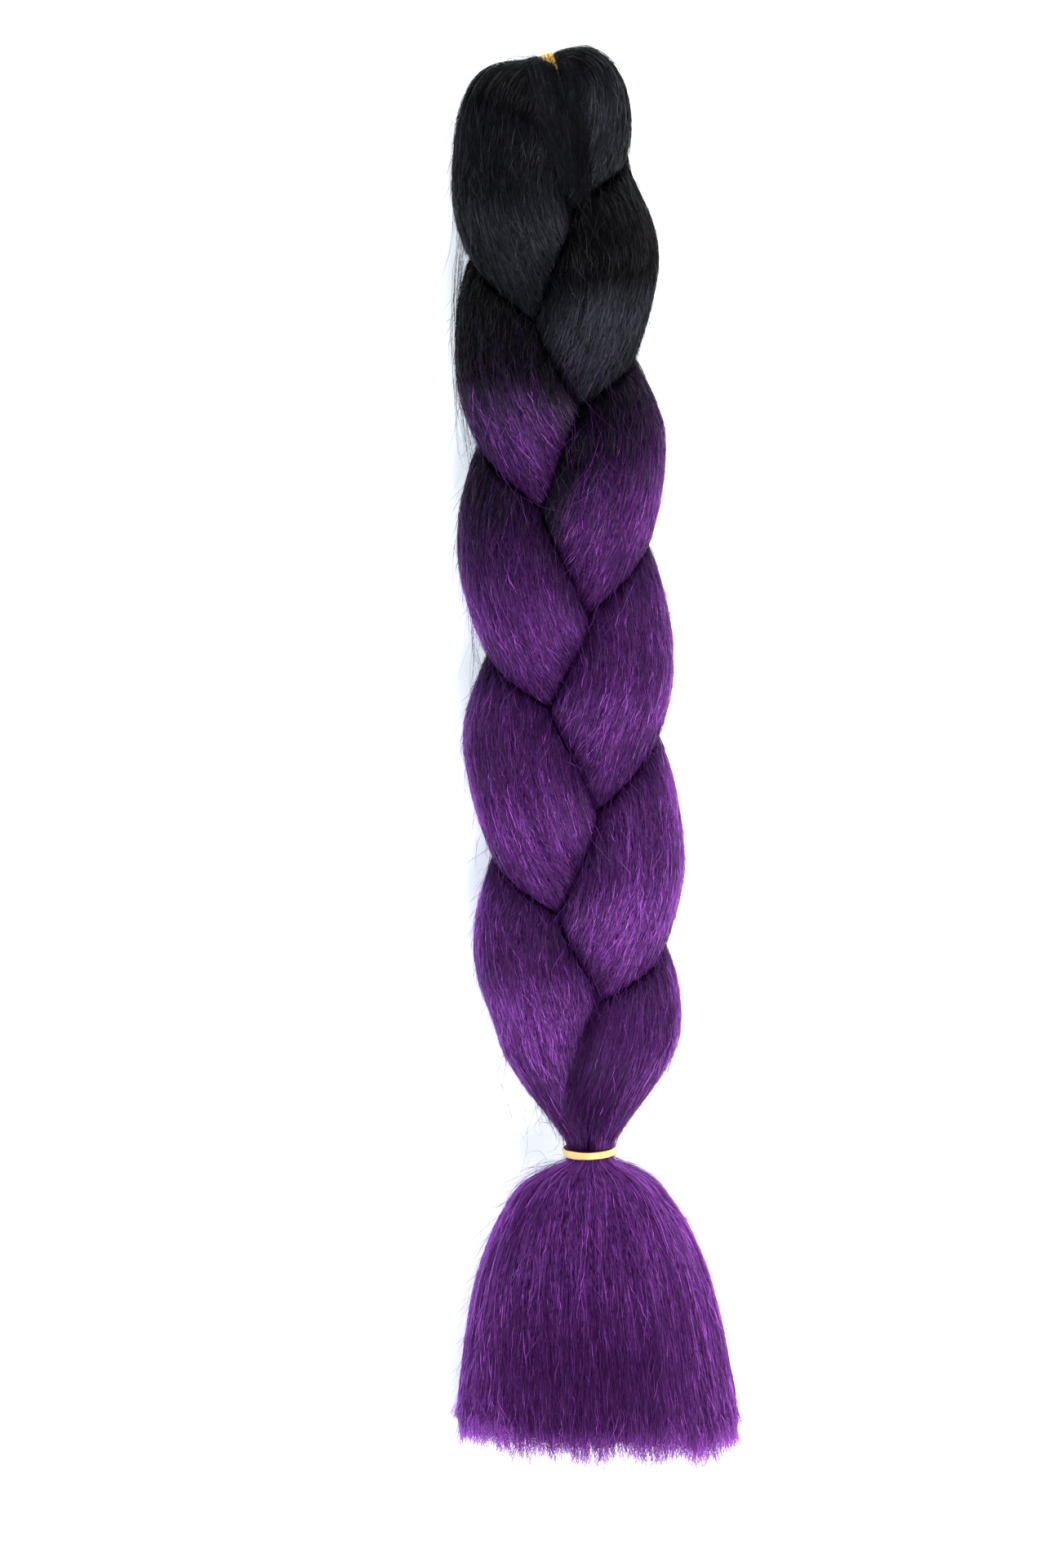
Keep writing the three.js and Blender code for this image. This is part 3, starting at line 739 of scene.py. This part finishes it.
def body_material():
    """The hair between the ribbons: streaks that run along it, and the relief of fine crimped hair."""
    material, nodes, links, shader = material_of("hair_body", 0.6)
    shader.inputs["Specular IOR Level"].default_value = 0.03
    flow = node(nodes, "ShaderNodeUVMap", uv_map="flow")
    amount = node(nodes, "ShaderNodeAttribute", attribute_name="purple").outputs["Fac"]
    # Painted light and shade, and painted rim light, come from the body's attributes.
    painted_light_and_shade = node(nodes, "ShaderNodeAttribute", attribute_name="outer").outputs["Fac"]
    rim = node(nodes, "ShaderNodeAttribute", attribute_name="rim").outputs["Fac"]

    def streaks(across, down, detail):
        mapping = nodes.new("ShaderNodeMapping")
        mapping.inputs["Scale"].default_value = (1 / across, 1 / down, 1)
        links.new(flow.outputs[0], mapping.inputs["Vector"])
        made = node(nodes, "ShaderNodeTexNoise", Scale=1.0, Detail=detail, Roughness=0.6, Distortion=0.6)
        links.new(mapping.outputs[0], made.inputs["Vector"])
        return made.outputs["Fac"]

    fine = streaks(0.35, 3.5, 2)
    broad = streaks(3, 50, 1)
    crimp = streaks(1.2, 4, 2)
    shade = maths(nodes, links, "MULTIPLY_ADD", fine, 2.6, -1.08)
    shade = maths(nodes, links, "MULTIPLY_ADD", broad, 0.6, maths(nodes, links, "ADD", shade, -0.3))
    shade = maths(nodes, links, "MAXIMUM", shade, 0)
    shade = maths(nodes, links, "MULTIPLY", shade, painted_light_and_shade)
    shade = maths(nodes, links, "ADD", shade, rim)
    shade = maths(nodes, links, "MULTIPLY", shade, 1 / BRIGHTEST)
    dark = mixed(nodes, links, shade, BLACK, BLACK_LIGHT)
    light = mixed(nodes, links, shade, PURPLE, PURPLE_LIGHT)
    links.new(mixed(nodes, links, amount, dark, light), shader.inputs["Base Color"])
    bump = node(nodes, "ShaderNodeBump", Strength=0.7, Distance=0.0006)
    height = maths(nodes, links, "MULTIPLY_ADD", crimp, 0.6, fine)
    links.new(height, bump.inputs["Height"])
    links.new(bump.outputs[0], shader.inputs["Normal"])
    return material


def rubber_material(name, colours):
    """Matt rubber, a little uneven in colour and finely grained."""
    material, nodes, links, shader = material_of(name, 0.42)
    shader.inputs["Subsurface Weight"].default_value = 0.15
    shader.inputs["Subsurface Radius"].default_value = (0.002, 0.0015, 0.0006)
    place = nodes.new("ShaderNodeTexCoord")
    broad = node(nodes, "ShaderNodeTexNoise", Scale=260.0, Detail=3.0)
    grain = node(nodes, "ShaderNodeTexNoise", Scale=2600.0, Detail=2.0)
    links.new(place.outputs["Object"], broad.inputs["Vector"])
    links.new(place.outputs["Object"], grain.inputs["Vector"])
    links.new(mixed(nodes, links, broad.outputs["Fac"], *colours), shader.inputs["Base Color"])
    bump = node(nodes, "ShaderNodeBump", Strength=0.25, Distance=0.0002)
    links.new(grain.outputs["Fac"], bump.inputs["Height"])
    links.new(bump.outputs[0], shader.inputs["Normal"])
    return material


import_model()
tie_low, tie_high = (np.array(corner, float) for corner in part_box("tie_band"))
origin = (tie_low + tie_high) / 2 + np.array([0, PLAIT_LENGTH * MM, 0])


def world(plan):
    """Plan points in mm as points of the frame in metres."""
    plan = np.asarray(plan, float)
    return origin + plan * np.array([1, -1, 1]) * MM


FIBRE = fibre_material("hair_fibre", (0.86, 0.86, 1, 1))
LOOSE_FIBRE = fibre_material("hair_loose_fibre", (0.85, 0.42, 1, 1))
BODY = body_material()


def purple_amount(strand, s, column, columns, later):
    """How purple the hair is: 0 black to 1 purple, at stations s and columns of the strand's grid."""
    station, left, right = strand[-3:]
    across = np.cos(2 * np.pi * column / columns)
    start = station + np.where(across < 0, left, right) * np.abs(across) ** 1.5 + later
    u = np.clip((s - start) / CHANGE_LENGTH + 0.5, 0, 1)
    return u * u * (3 - 2 * u)


def smoothed(grid, steps):
    """A grid's values evened out along its columns."""
    for _ in range(steps):
        padded = np.pad(grid, ((1, 1), (0, 0)), mode="edge")
        grid = (padded[:-2] + grid + padded[2:]) / 3
    return grid


def open_air_of(plan, others):
    """0 in a crease to 1 well clear of the other strands, which sets where painted crease shade falls."""
    nearest = np.min([depth_in(other, plan[..., 0], plan[..., 1], plan[..., 2]) for other in others], axis=0)
    return np.clip((nearest - 1.02) / 0.5, 0, 1)


def strand_painted_light(name, plan, normal, purple, others):
    """Painted light and shade on a strand: painted shade in its creases and above the tie, painted rim light
    at its purple edges, a painted sheen where it sinks, painted glints, and lighter further down the plait.
    """
    x, s = plan[..., 0], plan[..., 1]
    # Painted glints where the light catches the hair, on faces that look up.
    glint = 1 + sum(
        gain * np.exp(-(((x - x0) / wide) ** 2) - ((s - s0) / long) ** 2) * np.clip(normal[..., 2] * 2, 0, 1)
        for strand, x0, s0, wide, long, gain in GLINTS
        if strand == name
    )
    # Painted shade in the creases between the strands.
    open_air = open_air_of(plan, others)
    # Painted rim light where the purple hair is seen edge on.
    edge = np.exp(-((normal[..., 2] / 0.5) ** 2)) * purple
    # Painted shade above the tie.
    painted_shade_above_tie = 1 - 0.6 * np.clip((s - 425) / 30, 0, 1)
    # A painted sheen where the strand sinks towards the floor, stronger on black hair.
    step = np.gradient(plan, axis=0)
    slope = -step[..., 2] / np.maximum(np.linalg.norm(step, axis=-1), 1e-6)
    painted_sheen = smoothed(np.clip(smoothed(slope, 12) / 0.32, -0.3, 1), 8)
    further = 0.82 + 0.52 * np.clip((s - 190) / 180, 0, 1)
    painted_light = 0.9 + 2.6 * edge + (5 - 3.7 * purple) * painted_sheen
    return (0.06 + 0.94 * open_air) * painted_light * painted_shade_above_tie * further * glint


def rim_of(normal):
    """Where painted rim light goes: 1 where a surface is seen edge on from above, and 0 where it faces up or
    down.
    """
    return np.exp(-((normal[..., 2] / 0.36) ** 2))


def make_strand(index, strands):
    """A strand's body, its long hair and its frizz."""
    spec = STRANDS[index]
    name = spec[0]
    rng = np.random.default_rng(100 + index)
    others = [one for k, one in enumerate(strands) if k != index]
    plan, share = strand_grid(strands[index], others)
    one = strands[index][0]
    centre = world(np.concatenate([one["middle"], one["z"][:, None]], axis=1))
    surface = surface_of(world(plan), share, centre)
    j = np.arange(STRAND_SIDES)[None, :]
    stations = plan[..., 1]
    later = 10 * noise(40 + index, j * 2 * np.pi / STRAND_SIDES * 3, stations / 60)
    purple = purple_amount(spec, stations, j, STRAND_SIDES, later)
    painted_light = strand_painted_light(name, plan, surface["normal"], purple, others)
    # Painted rim light on the purple hair seen edge on, kept out of the creases.
    rim = rim_of(surface["normal"]) * purple * open_air_of(plan, others) ** 2
    surface |= {"painted_light": painted_light[..., None], "rim": rim[..., None], "station": stations[..., None]}
    # outer: painted shade in the creases times the painted light and shade; rim: painted rim light.
    values = {"purple": purple, "outer": share**3 * painted_light, "rim": PAINTED_RIM_LIGHT * rim}
    dress(body_mesh(name + "_body", surface, centre[0], centre[-1], BODY, values), "plaited_hair", name)

    def colour(rows, cols):
        station = sample(surface["station"], rows, cols)[..., 0]
        later = rng.normal(0, CHANGE_SPREAD, (len(rows), 1))
        return purple_amount(spec, station, cols, STRAND_SIDES, later)

    for ending, hairs, kind in (("_hair", STRAND_HAIR, LONG), ("_frizz", STRAND_FRIZZ, FRIZZ)):
        start, length, column = scatter(surface, rng, hairs)
        start = np.minimum(start, surface["arc"][-1] - length + 0.004)
        places = (start, length, column)
        add_hair(name + ending, "plaited_hair", surface, rng, places, hairs["points"], kind, colour)
    return surface["points"]


def brush_grid():
    """The brush's surface from the tie to the line of the cut, a little short of its tips."""
    neck = TIE_NECK / BRUSH_LENGTH
    t = np.linspace(0, 1, BRUSH_STATIONS)[:, None]
    at = np.concatenate([[[END_GAP / 2 / BRUSH_LENGTH]], neck + (1 - neck) * t**1.2])
    angle = 2 * np.pi * np.arange(BRUSH_SIDES)[None, :] / BRUSH_SIDES
    half = along(BRUSH, 1, at) * BRUSH_WIDTH / 2
    thick = along(BRUSH, 2, at) * BRUSH_THICKNESS / 2
    drop = along(BRUSH, 3, at) * BRUSH_THICKNESS / 2
    opened = np.clip((half - TIE_RADIUS) / TIE_RADIUS, 0, 1)
    locks = noise(5, 9 * np.cos(angle), 9 * np.sin(angle))
    locks = locks + 0.6 * noise(6, 19 * np.cos(angle), 19 * np.sin(angle))
    groove = opened * (0.5 + 0.9 * np.clip(0.4 - locks, 0, 1.3))
    across = np.cos(angle)
    short = at**4 * (along(CUT, 1, across) * BRUSH_LENGTH + TIPS)
    x = across * (half - groove) - BRUSH_SWAY * opened
    ragged = np.random.default_rng(8).uniform(-RAGGED, RAGGED, BRUSH_SIDES)
    s = PLAIT_LENGTH + at * BRUSH_LENGTH - short + at**12 * ragged
    z = np.maximum(FLOOR, np.sin(angle) * (thick - groove) - drop)
    return np.stack([x, s + 0 * x, z], axis=-1)


def brush_painted_light(down, turn):
    """Painted light and shade on the brush: painted shade in its lower middle and at the tie, painted light
    at its sides and its cut end.
    """
    across = np.abs(np.cos(2 * np.pi * turn))
    middle = np.exp(-((across / 0.62) ** 4)) * np.exp(-(((down - 0.78) / 0.26) ** 2))
    neck = np.exp(-((down / 0.1) ** 2))
    return 1.15 - 1.02 * middle - 0.3 * neck + 0.3 * across**6 + 0.4 * np.clip((down - 0.93) / 0.07, 0, 1)


def make_brush():
    """The brush's body with its hollow end, its long hair and its frizz."""
    rng = np.random.default_rng(11)
    plan = brush_grid()
    rows, columns = plan.shape[:2]
    rim = plan[-1]
    middle = np.array([[-BRUSH_SWAY, 0, -0.12 * BRUSH_THICKNESS / 2]])
    caps = []
    for size in BRUSH_CAPS:
        ring = middle + (rim - middle) * size
        ring[:, 1] = rim[:, 1] * size + (1 - size) * rim[:, 1].mean() - BRUSH_HOLLOW * (1 - size)
        caps.append(ring)
    points = world(np.concatenate([plan, np.array(caps)]))
    surface = surface_of(points[:rows], np.ones((rows, columns)), points[:rows].mean(axis=1))
    total = surface["arc"][-1]
    whole = dict(surface, points=points)
    whole["arc"] = np.concatenate([surface["arc"], total + np.arange(1, len(caps) + 1) * 0.008])

    down, turn = np.meshgrid(np.linspace(0, 1, rows), np.arange(columns) / columns, indexing="ij")
    # Painted light and shade on the brush, with painted rim light where it is seen edge on.
    painted_light = brush_painted_light(down, turn) + 3.2 * np.exp(-((surface["normal"][..., 2] / 0.6) ** 2))
    # Painted rim light, weaker near the tie, and painted light at the cut end.
    light = rim_of(surface["normal"]) * np.clip(down / 0.3, 0.3, 1)
    light = light + 0.35 * np.clip((down - 0.94) / 0.06, 0, 1)
    surface |= {"painted_light": painted_light[..., None], "rim": light[..., None]}
    values = {
        "purple": np.ones(points.shape[:2]),
        # outer: the painted light and shade, plain on the hollow end; rim: painted rim light.
        "outer": 0.8 * np.concatenate([painted_light, np.ones((len(caps), columns))]),
        "rim": PAINTED_RIM_LIGHT * np.concatenate([light, np.zeros((len(caps), columns))]),
    }
    tip = world(caps[-1].mean(axis=0))
    dress(body_mesh("brush_body", whole, points[0].mean(axis=0), tip, BODY, values), "loose_hair", "brush")

    def starts(start, length, column):
        """Where the hairs start, with some of them moved down so that they end at the cut."""
        turn = column * 2 * np.pi / columns
        lock = 0.003 * noise(21, 12 * np.cos(turn), 12 * np.sin(turn))
        tips = total + lock + rng.uniform(-0.003, 0.0095, len(start)) - length
        tips = tips + rng.exponential(0.0011, len(start))
        return np.where(rng.uniform(0, 1, len(start)) < 0.6, tips, np.minimum(start, tips))

    def colour(rows, cols):
        return np.ones(rows.shape)

    for ending, hairs, kind in (("_hair", BRUSH_HAIR, LONG), ("_frizz", BRUSH_FRIZZ, FRIZZ)):
        start, length, column = scatter(surface, rng, hairs)
        places = (starts(start, length, column), length, column)
        add_hair("brush" + ending, "loose_hair", surface, rng, places, hairs["points"], kind, colour)
    return surface["points"]


def top_map(grids):
    """The height of the top of everything over the plan, in cells a millimetre wide."""
    tops = np.zeros(MAP_CELLS)
    for grid in grids:
        rows, columns = grid.shape[:2]
        i, j = np.meshgrid(np.arange(0, rows - 1, 0.34), np.arange(0, columns, 0.4), indexing="ij")
        points = sample(grid, i, j).reshape(-1, 3)
        x, y = ((points[:, :2] - MAP_CORNER) / MM).astype(int).T
        np.maximum.at(tops, (x, y), points[:, 2])
    return tops


def draped(tops, plan, least, lift):
    """Plan paths in mm laid over the top of everything, or at a least height where they are clear of it."""
    flat = world(np.concatenate([plan, np.zeros(plan.shape[:2] + (1,))], axis=-1))
    cells = np.clip(((flat[..., :2] - MAP_CORNER) / MM).astype(int), 0, np.array(MAP_CELLS) - 1)
    under = np.maximum(tops[cells[..., 0], cells[..., 1]], least)
    over = under.copy()
    over[:, 1:] = np.maximum(over[:, 1:], under[:, :-1])
    over[:, :-1] = np.maximum(over[:, :-1], under[:, 1:])
    for _ in range(4):
        padded = np.pad(over, ((0, 0), (1, 1)), mode="edge")
        over = np.maximum((padded[:, :-2] + 2 * over + padded[:, 2:]) / 4, under)
    flat[..., 2] = over + lift
    return flat


def spline(rows, t):
    """Smooth plan paths through a few points each. rows: hairs by points by 2."""
    rows = np.concatenate([2 * rows[:, :1] - rows[:, 1:2], rows, 2 * rows[:, -1:] - rows[:, -2:-1]], axis=1)
    at = t * (rows.shape[1] - 3)
    i = np.minimum(at.astype(int), rows.shape[1] - 4)
    u = (at - i)[None, :, None]
    a, b, c, d = (rows[:, i + k] for k in range(4))
    return b + 0.5 * u * (c - a + u * (2 * a - 5 * b + 4 * c - d + u * (3 * b - a - 3 * c + d)))


def stray_paths(rng, count, steps, points, spread, wave):
    """Hairs that follow a line of plan points, each with its own offset, spread and waves."""
    rows = np.array(points, float)[None] + rng.normal(0, 1, (count, len(points), 2)) * np.array(spread)
    t = np.linspace(0, 1, steps)
    path = spline(rows, t)
    wander = np.cumsum(rng.normal(0, wave, (count, steps, 2)), axis=1)
    return path + wander - wander.mean(axis=1, keepdims=True)


def sheet_paths(rng, count, steps, left, right):
    """Hairs side by side between two lines of plan points, each over a part of their length."""
    across = rng.uniform(0, 1, (count, 1, 1))
    rows = np.array(left, float)[None] * (1 - across) + np.array(right, float)[None] * across
    rows = rows + rng.normal(0, 1, (count, 1, 2)) * [0.9, 2.5] + rng.normal(0, 0.5, rows.shape)
    whole = spline(rows, np.linspace(0, 1, 60))
    part = rng.uniform(0.35, 0.75, (count, 1))
    at = (rng.uniform(0, 1, (count, 1)) * (1 - part) + part * np.linspace(0, 1, steps)[None, :]) * 59
    i = np.minimum(at.astype(int), 58)
    hair = np.arange(count)[:, None]
    u = (at - i)[..., None]
    return whole[hair, i] * (1 - u) + whole[hair, i + 1] * u


def curl_paths(rng, count, sizes, turns, sweeps, centres):
    """Curled hairs, each an arc about its own centre. centres: what gives their x and s."""
    t = np.linspace(0, 1, STRAY_POINTS)[None, :]
    size = rng.uniform(*sizes, (count, 1))
    turn = rng.uniform(*turns, (count, 1))
    turn = turn + t * rng.uniform(*sweeps, (count, 1)) * rng.choice([-1, 1], (count, 1))
    x, s = centres()
    return np.stack([x + size * np.cos(turn), s + size * np.sin(turn)], axis=-1)


def add_strays(tops):
    """Hairs that cross the creases and the fold's band, and the loose ones at the edges."""
    rng = np.random.default_rng(31)
    steps = STRAY_POINTS
    parts = []

    for left, right, count in (FOLD_SHEET, NECK_SHEET):
        path = sheet_paths(rng, count, steps, left, right)
        parts.append(draped(tops, path, 0.004, rng.uniform(0.0001, 0.0014, (count, 1))))

    start = np.stack([rng.uniform(-42, 42, ANYWHERE), rng.uniform(8, 450, ANYWHERE)], axis=-1)
    aim = rng.normal(0, 0.42, ANYWHERE)
    long = rng.uniform(8, 42, ANYWHERE)
    end = start + long[:, None] * np.stack([np.sin(aim), np.cos(aim)], axis=-1)
    end[:, 0] = np.clip(end[:, 0], -49, 49)
    bend = (start + end) / 2 + rng.normal(0, 1, (ANYWHERE, 2)) * (0.09 * long)[:, None]
    path = spline(np.stack([start, bend, end], axis=1), np.linspace(0, 1, steps))
    parts.append(draped(tops, path, 0.012, rng.uniform(0.0002, 0.0016, (ANYWHERE, 1))))

    for middle, count, spread in SHEAVES:
        path = stray_paths(rng, count, steps, middle, spread, 0.16)
        parts.append(draped(tops, path, 0.01, rng.uniform(0.0004, 0.0016, (count, 1))))

    def beside_tie():
        each = (TIE_CURLS, 1)
        left = rng.uniform(0, 1, each) < 0.8
        x = np.where(left, rng.uniform(-24, -11, each), rng.uniform(11, 20, each))
        return x, rng.uniform(446, 484, each)

    def over_fold():
        return rng.uniform(-14, 16, (FOLD_CURLS, 1)), rng.uniform(4, 11, (FOLD_CURLS, 1))

    path = curl_paths(rng, TIE_CURLS, (2.5, 7.5), (0.8, 2.6), (2.5, 5.2), beside_tie)
    parts.append(draped(tops, path, 0.012, 0.001))
    path = curl_paths(rng, FOLD_CURLS, (2, 6), (3.4, 5.2), (1.2, 2.6), over_fold)
    parts.append(draped(tops, path, 0.012, 0.001))

    # The hairs after these are the dark lines of painted crease shade.
    lit = sum(len(part) for part in parts)
    for left, right, count in (FOLD_SHADE, NECK_SHADE):
        path = sheet_paths(rng, count, steps, left, right)
        parts.append(draped(tops, path, 0.004, rng.uniform(0.0008, 0.0016, (count, 1))))

    path = np.concatenate(parts)
    hairs = len(path)
    station = (origin[1] - path[..., 1]) / MM
    purple = np.clip((station + rng.normal(0, 12, (hairs, 1)) - 160) / 56 + 0.5, 0, 1)
    tangent = unit(np.gradient(path, axis=1))
    flat_side = unit(np.cross(tangent, [0, 0, 1.0]))
    flip = np.where(np.arange(steps) % 2, 1, -1)[None, :, None]
    path = path + flat_side * flip * rng.uniform(0.2, 1, (hairs, steps, 1)) * 0.00012
    tilt = rng.uniform(-0.9, 0.9, (hairs, 1)) + rng.normal(0, 0.2, (hairs, steps))
    upright = np.cross(flat_side, tangent)
    side = flat_side * np.cos(tilt)[..., None] + upright * np.sin(tilt)[..., None]
    width = rng.uniform(0.00008, 0.00017, (hairs, 1)) * np.sin(np.pi * np.linspace(0.04, 0.96, steps)) ** 0.4
    shade = (0.1 + rng.exponential(0.13, (hairs, 1))) * np.exp(rng.normal(0, 0.6, (hairs, steps)))
    # The lines of painted crease shade are a tenth as light.
    shade[lit:] *= 0.1
    # Painted shade above the tie.
    shade = shade * (1 - 0.55 * np.clip((station - 430) / 30, 0, 1))
    dress(ribbons("stray_hair", path, side, width, purple, shade, FIBRE), "plaited_hair")


def make_band(node, middle, axis, neck, width, material, slot, seed):
    """A rubber band round a neck, its edges rounded, a little uneven and slimmer than its solid."""
    around, profile = BAND_STEPS
    slimmer = 0.25
    roundness = 0.55
    turn = 2 * np.pi * np.arange(around) / around
    across = 2 * np.pi * np.arange(profile) / profile
    axis = unit(np.array(axis, float))
    up = unit(np.cross(axis, [1, 0, 0.01]))
    other = np.cross(axis, up)
    radius = neck / 2 + BAND_CLEARANCE + BAND_THICKNESS / 2 - slimmer
    squarish = lambda value: np.sign(value) * np.abs(value) ** roundness
    wobble = noise(seed, 3 * np.cos(turn), 3 * np.sin(turn))[:, None] * 0.12
    out = radius + squarish(np.cos(across))[None, :] * (BAND_THICKNESS / 2 - slimmer)
    shift = squarish(np.sin(across))[None, :] * (width / 2) * (1 + wobble) + wobble
    ring = np.cos(turn)[:, None] * up + np.sin(turn)[:, None] * other
    points = middle + (ring[:, None, :] * out[..., None] + axis * shift[..., None]) * MM
    i, j = np.meshgrid(np.arange(around), np.arange(profile), indexing="ij")
    after, beside = (i + 1) % around, (j + 1) % profile
    corners = [i * profile + j, after * profile + j, after * profile + beside, i * profile + beside]
    faces = np.stack(corners, axis=-1).reshape(-1, 4)
    dress(mesh_piece(node + "_rubber", points.reshape(-1, 3), faces, material), slot, node)


def make_bands():
    """The band that ties the plait, and the one at the fold."""
    middle = world([0, PLAIT_LENGTH, 0])
    axis = [0, math.cos(TIE_BAND_TILT), math.sin(TIE_BAND_TILT)]
    rubber = rubber_material("rubber_pale", PALE)
    make_band("tie_band", middle, axis, TIE_DIAMETER, TIE_BAND_WIDTH, rubber, "tie_rubber", 3)
    middle = world([FOLD_BAND_X, FOLD_BAND_STATION, 0])
    axis = [math.cos(HANK_TILT), math.sin(HANK_TILT), 0]
    rubber = rubber_material("rubber_golden", GOLDEN)
    make_band("fold_band", middle, axis, HANK_DIAMETER, FOLD_BAND_WIDTH, rubber, "fold_rubber", 4)


def add_floor():
    """A plain pale floor that shines a little, so that it stays white under the object."""
    size = FLOOR_SIZE
    corners = [[-size, -size, 0], [size, -size, 0], [size, size, 0], [-size, size, 0]]
    paper, _, _, shader = material_of("floor_paper", 0.8)
    shader.inputs["Base Color"].default_value = (0.88, 0.89, 0.9, 1)
    shader.inputs["Emission Color"].default_value = (0.84, 0.92, 1, 1)
    shader.inputs["Emission Strength"].default_value = 0.55
    mesh_piece("floor", np.array(corners, float), [[0, 1, 2, 3]], paper)


def add_lamp(name, place, aim, width, height, power, color):
    """A flat soft lamp."""
    lamp = bpy.data.lights.new(name, "AREA")
    lamp.shape = "RECTANGLE"
    lamp.size, lamp.size_y = width, height
    lamp.energy = power
    lamp.color = color
    made = bpy.data.objects.new(name, lamp)
    made.location = place
    direction = Vector(aim) - Vector(place)
    made.rotation_euler = direction.to_track_quat("-Z", "Y").to_euler()
    bpy.context.scene.collection.objects.link(made)


def add_studio():
    """Soft light from both ends, a little from the sides and all round, and the photo's camera."""
    world_light = bpy.data.worlds.new("studio")
    world_light.use_nodes = True
    background = world_light.node_tree.nodes["Background"]
    background.inputs["Color"].default_value = (0.93, 0.96, 1, 1)
    background.inputs["Strength"].default_value = 0.14
    bpy.context.scene.world = world_light
    bpy.context.scene.view_settings.view_transform = "Standard"
    for lamp in LAMPS:
        add_lamp(*lamp)
    camera_data = bpy.data.cameras.new("camera")
    camera_data.sensor_fit = "VERTICAL"
    camera_data.angle = 2 * math.atan(CAMERA_REACH / CAMERA_DISTANCE)
    camera = bpy.data.objects.new("camera", camera_data)
    x, y, z = CAMERA_AIM
    camera.location = (x, y, z + CAMERA_DISTANCE)
    camera.rotation_euler = (0, 0, -CAMERA_TURN)
    bpy.context.scene.collection.objects.link(camera)
    bpy.context.scene.camera = camera


strands = [
    (sections_of(rows), first)
    for rows, first in (strand_rows(fold, turn, side, height) for _, fold, turn, side, height, *_ in STRANDS)
]
grids = [make_strand(index, strands) for index in range(3)]
grids.append(make_brush())
add_strays(top_map(grids))
make_bands()
add_floor()
add_studio()
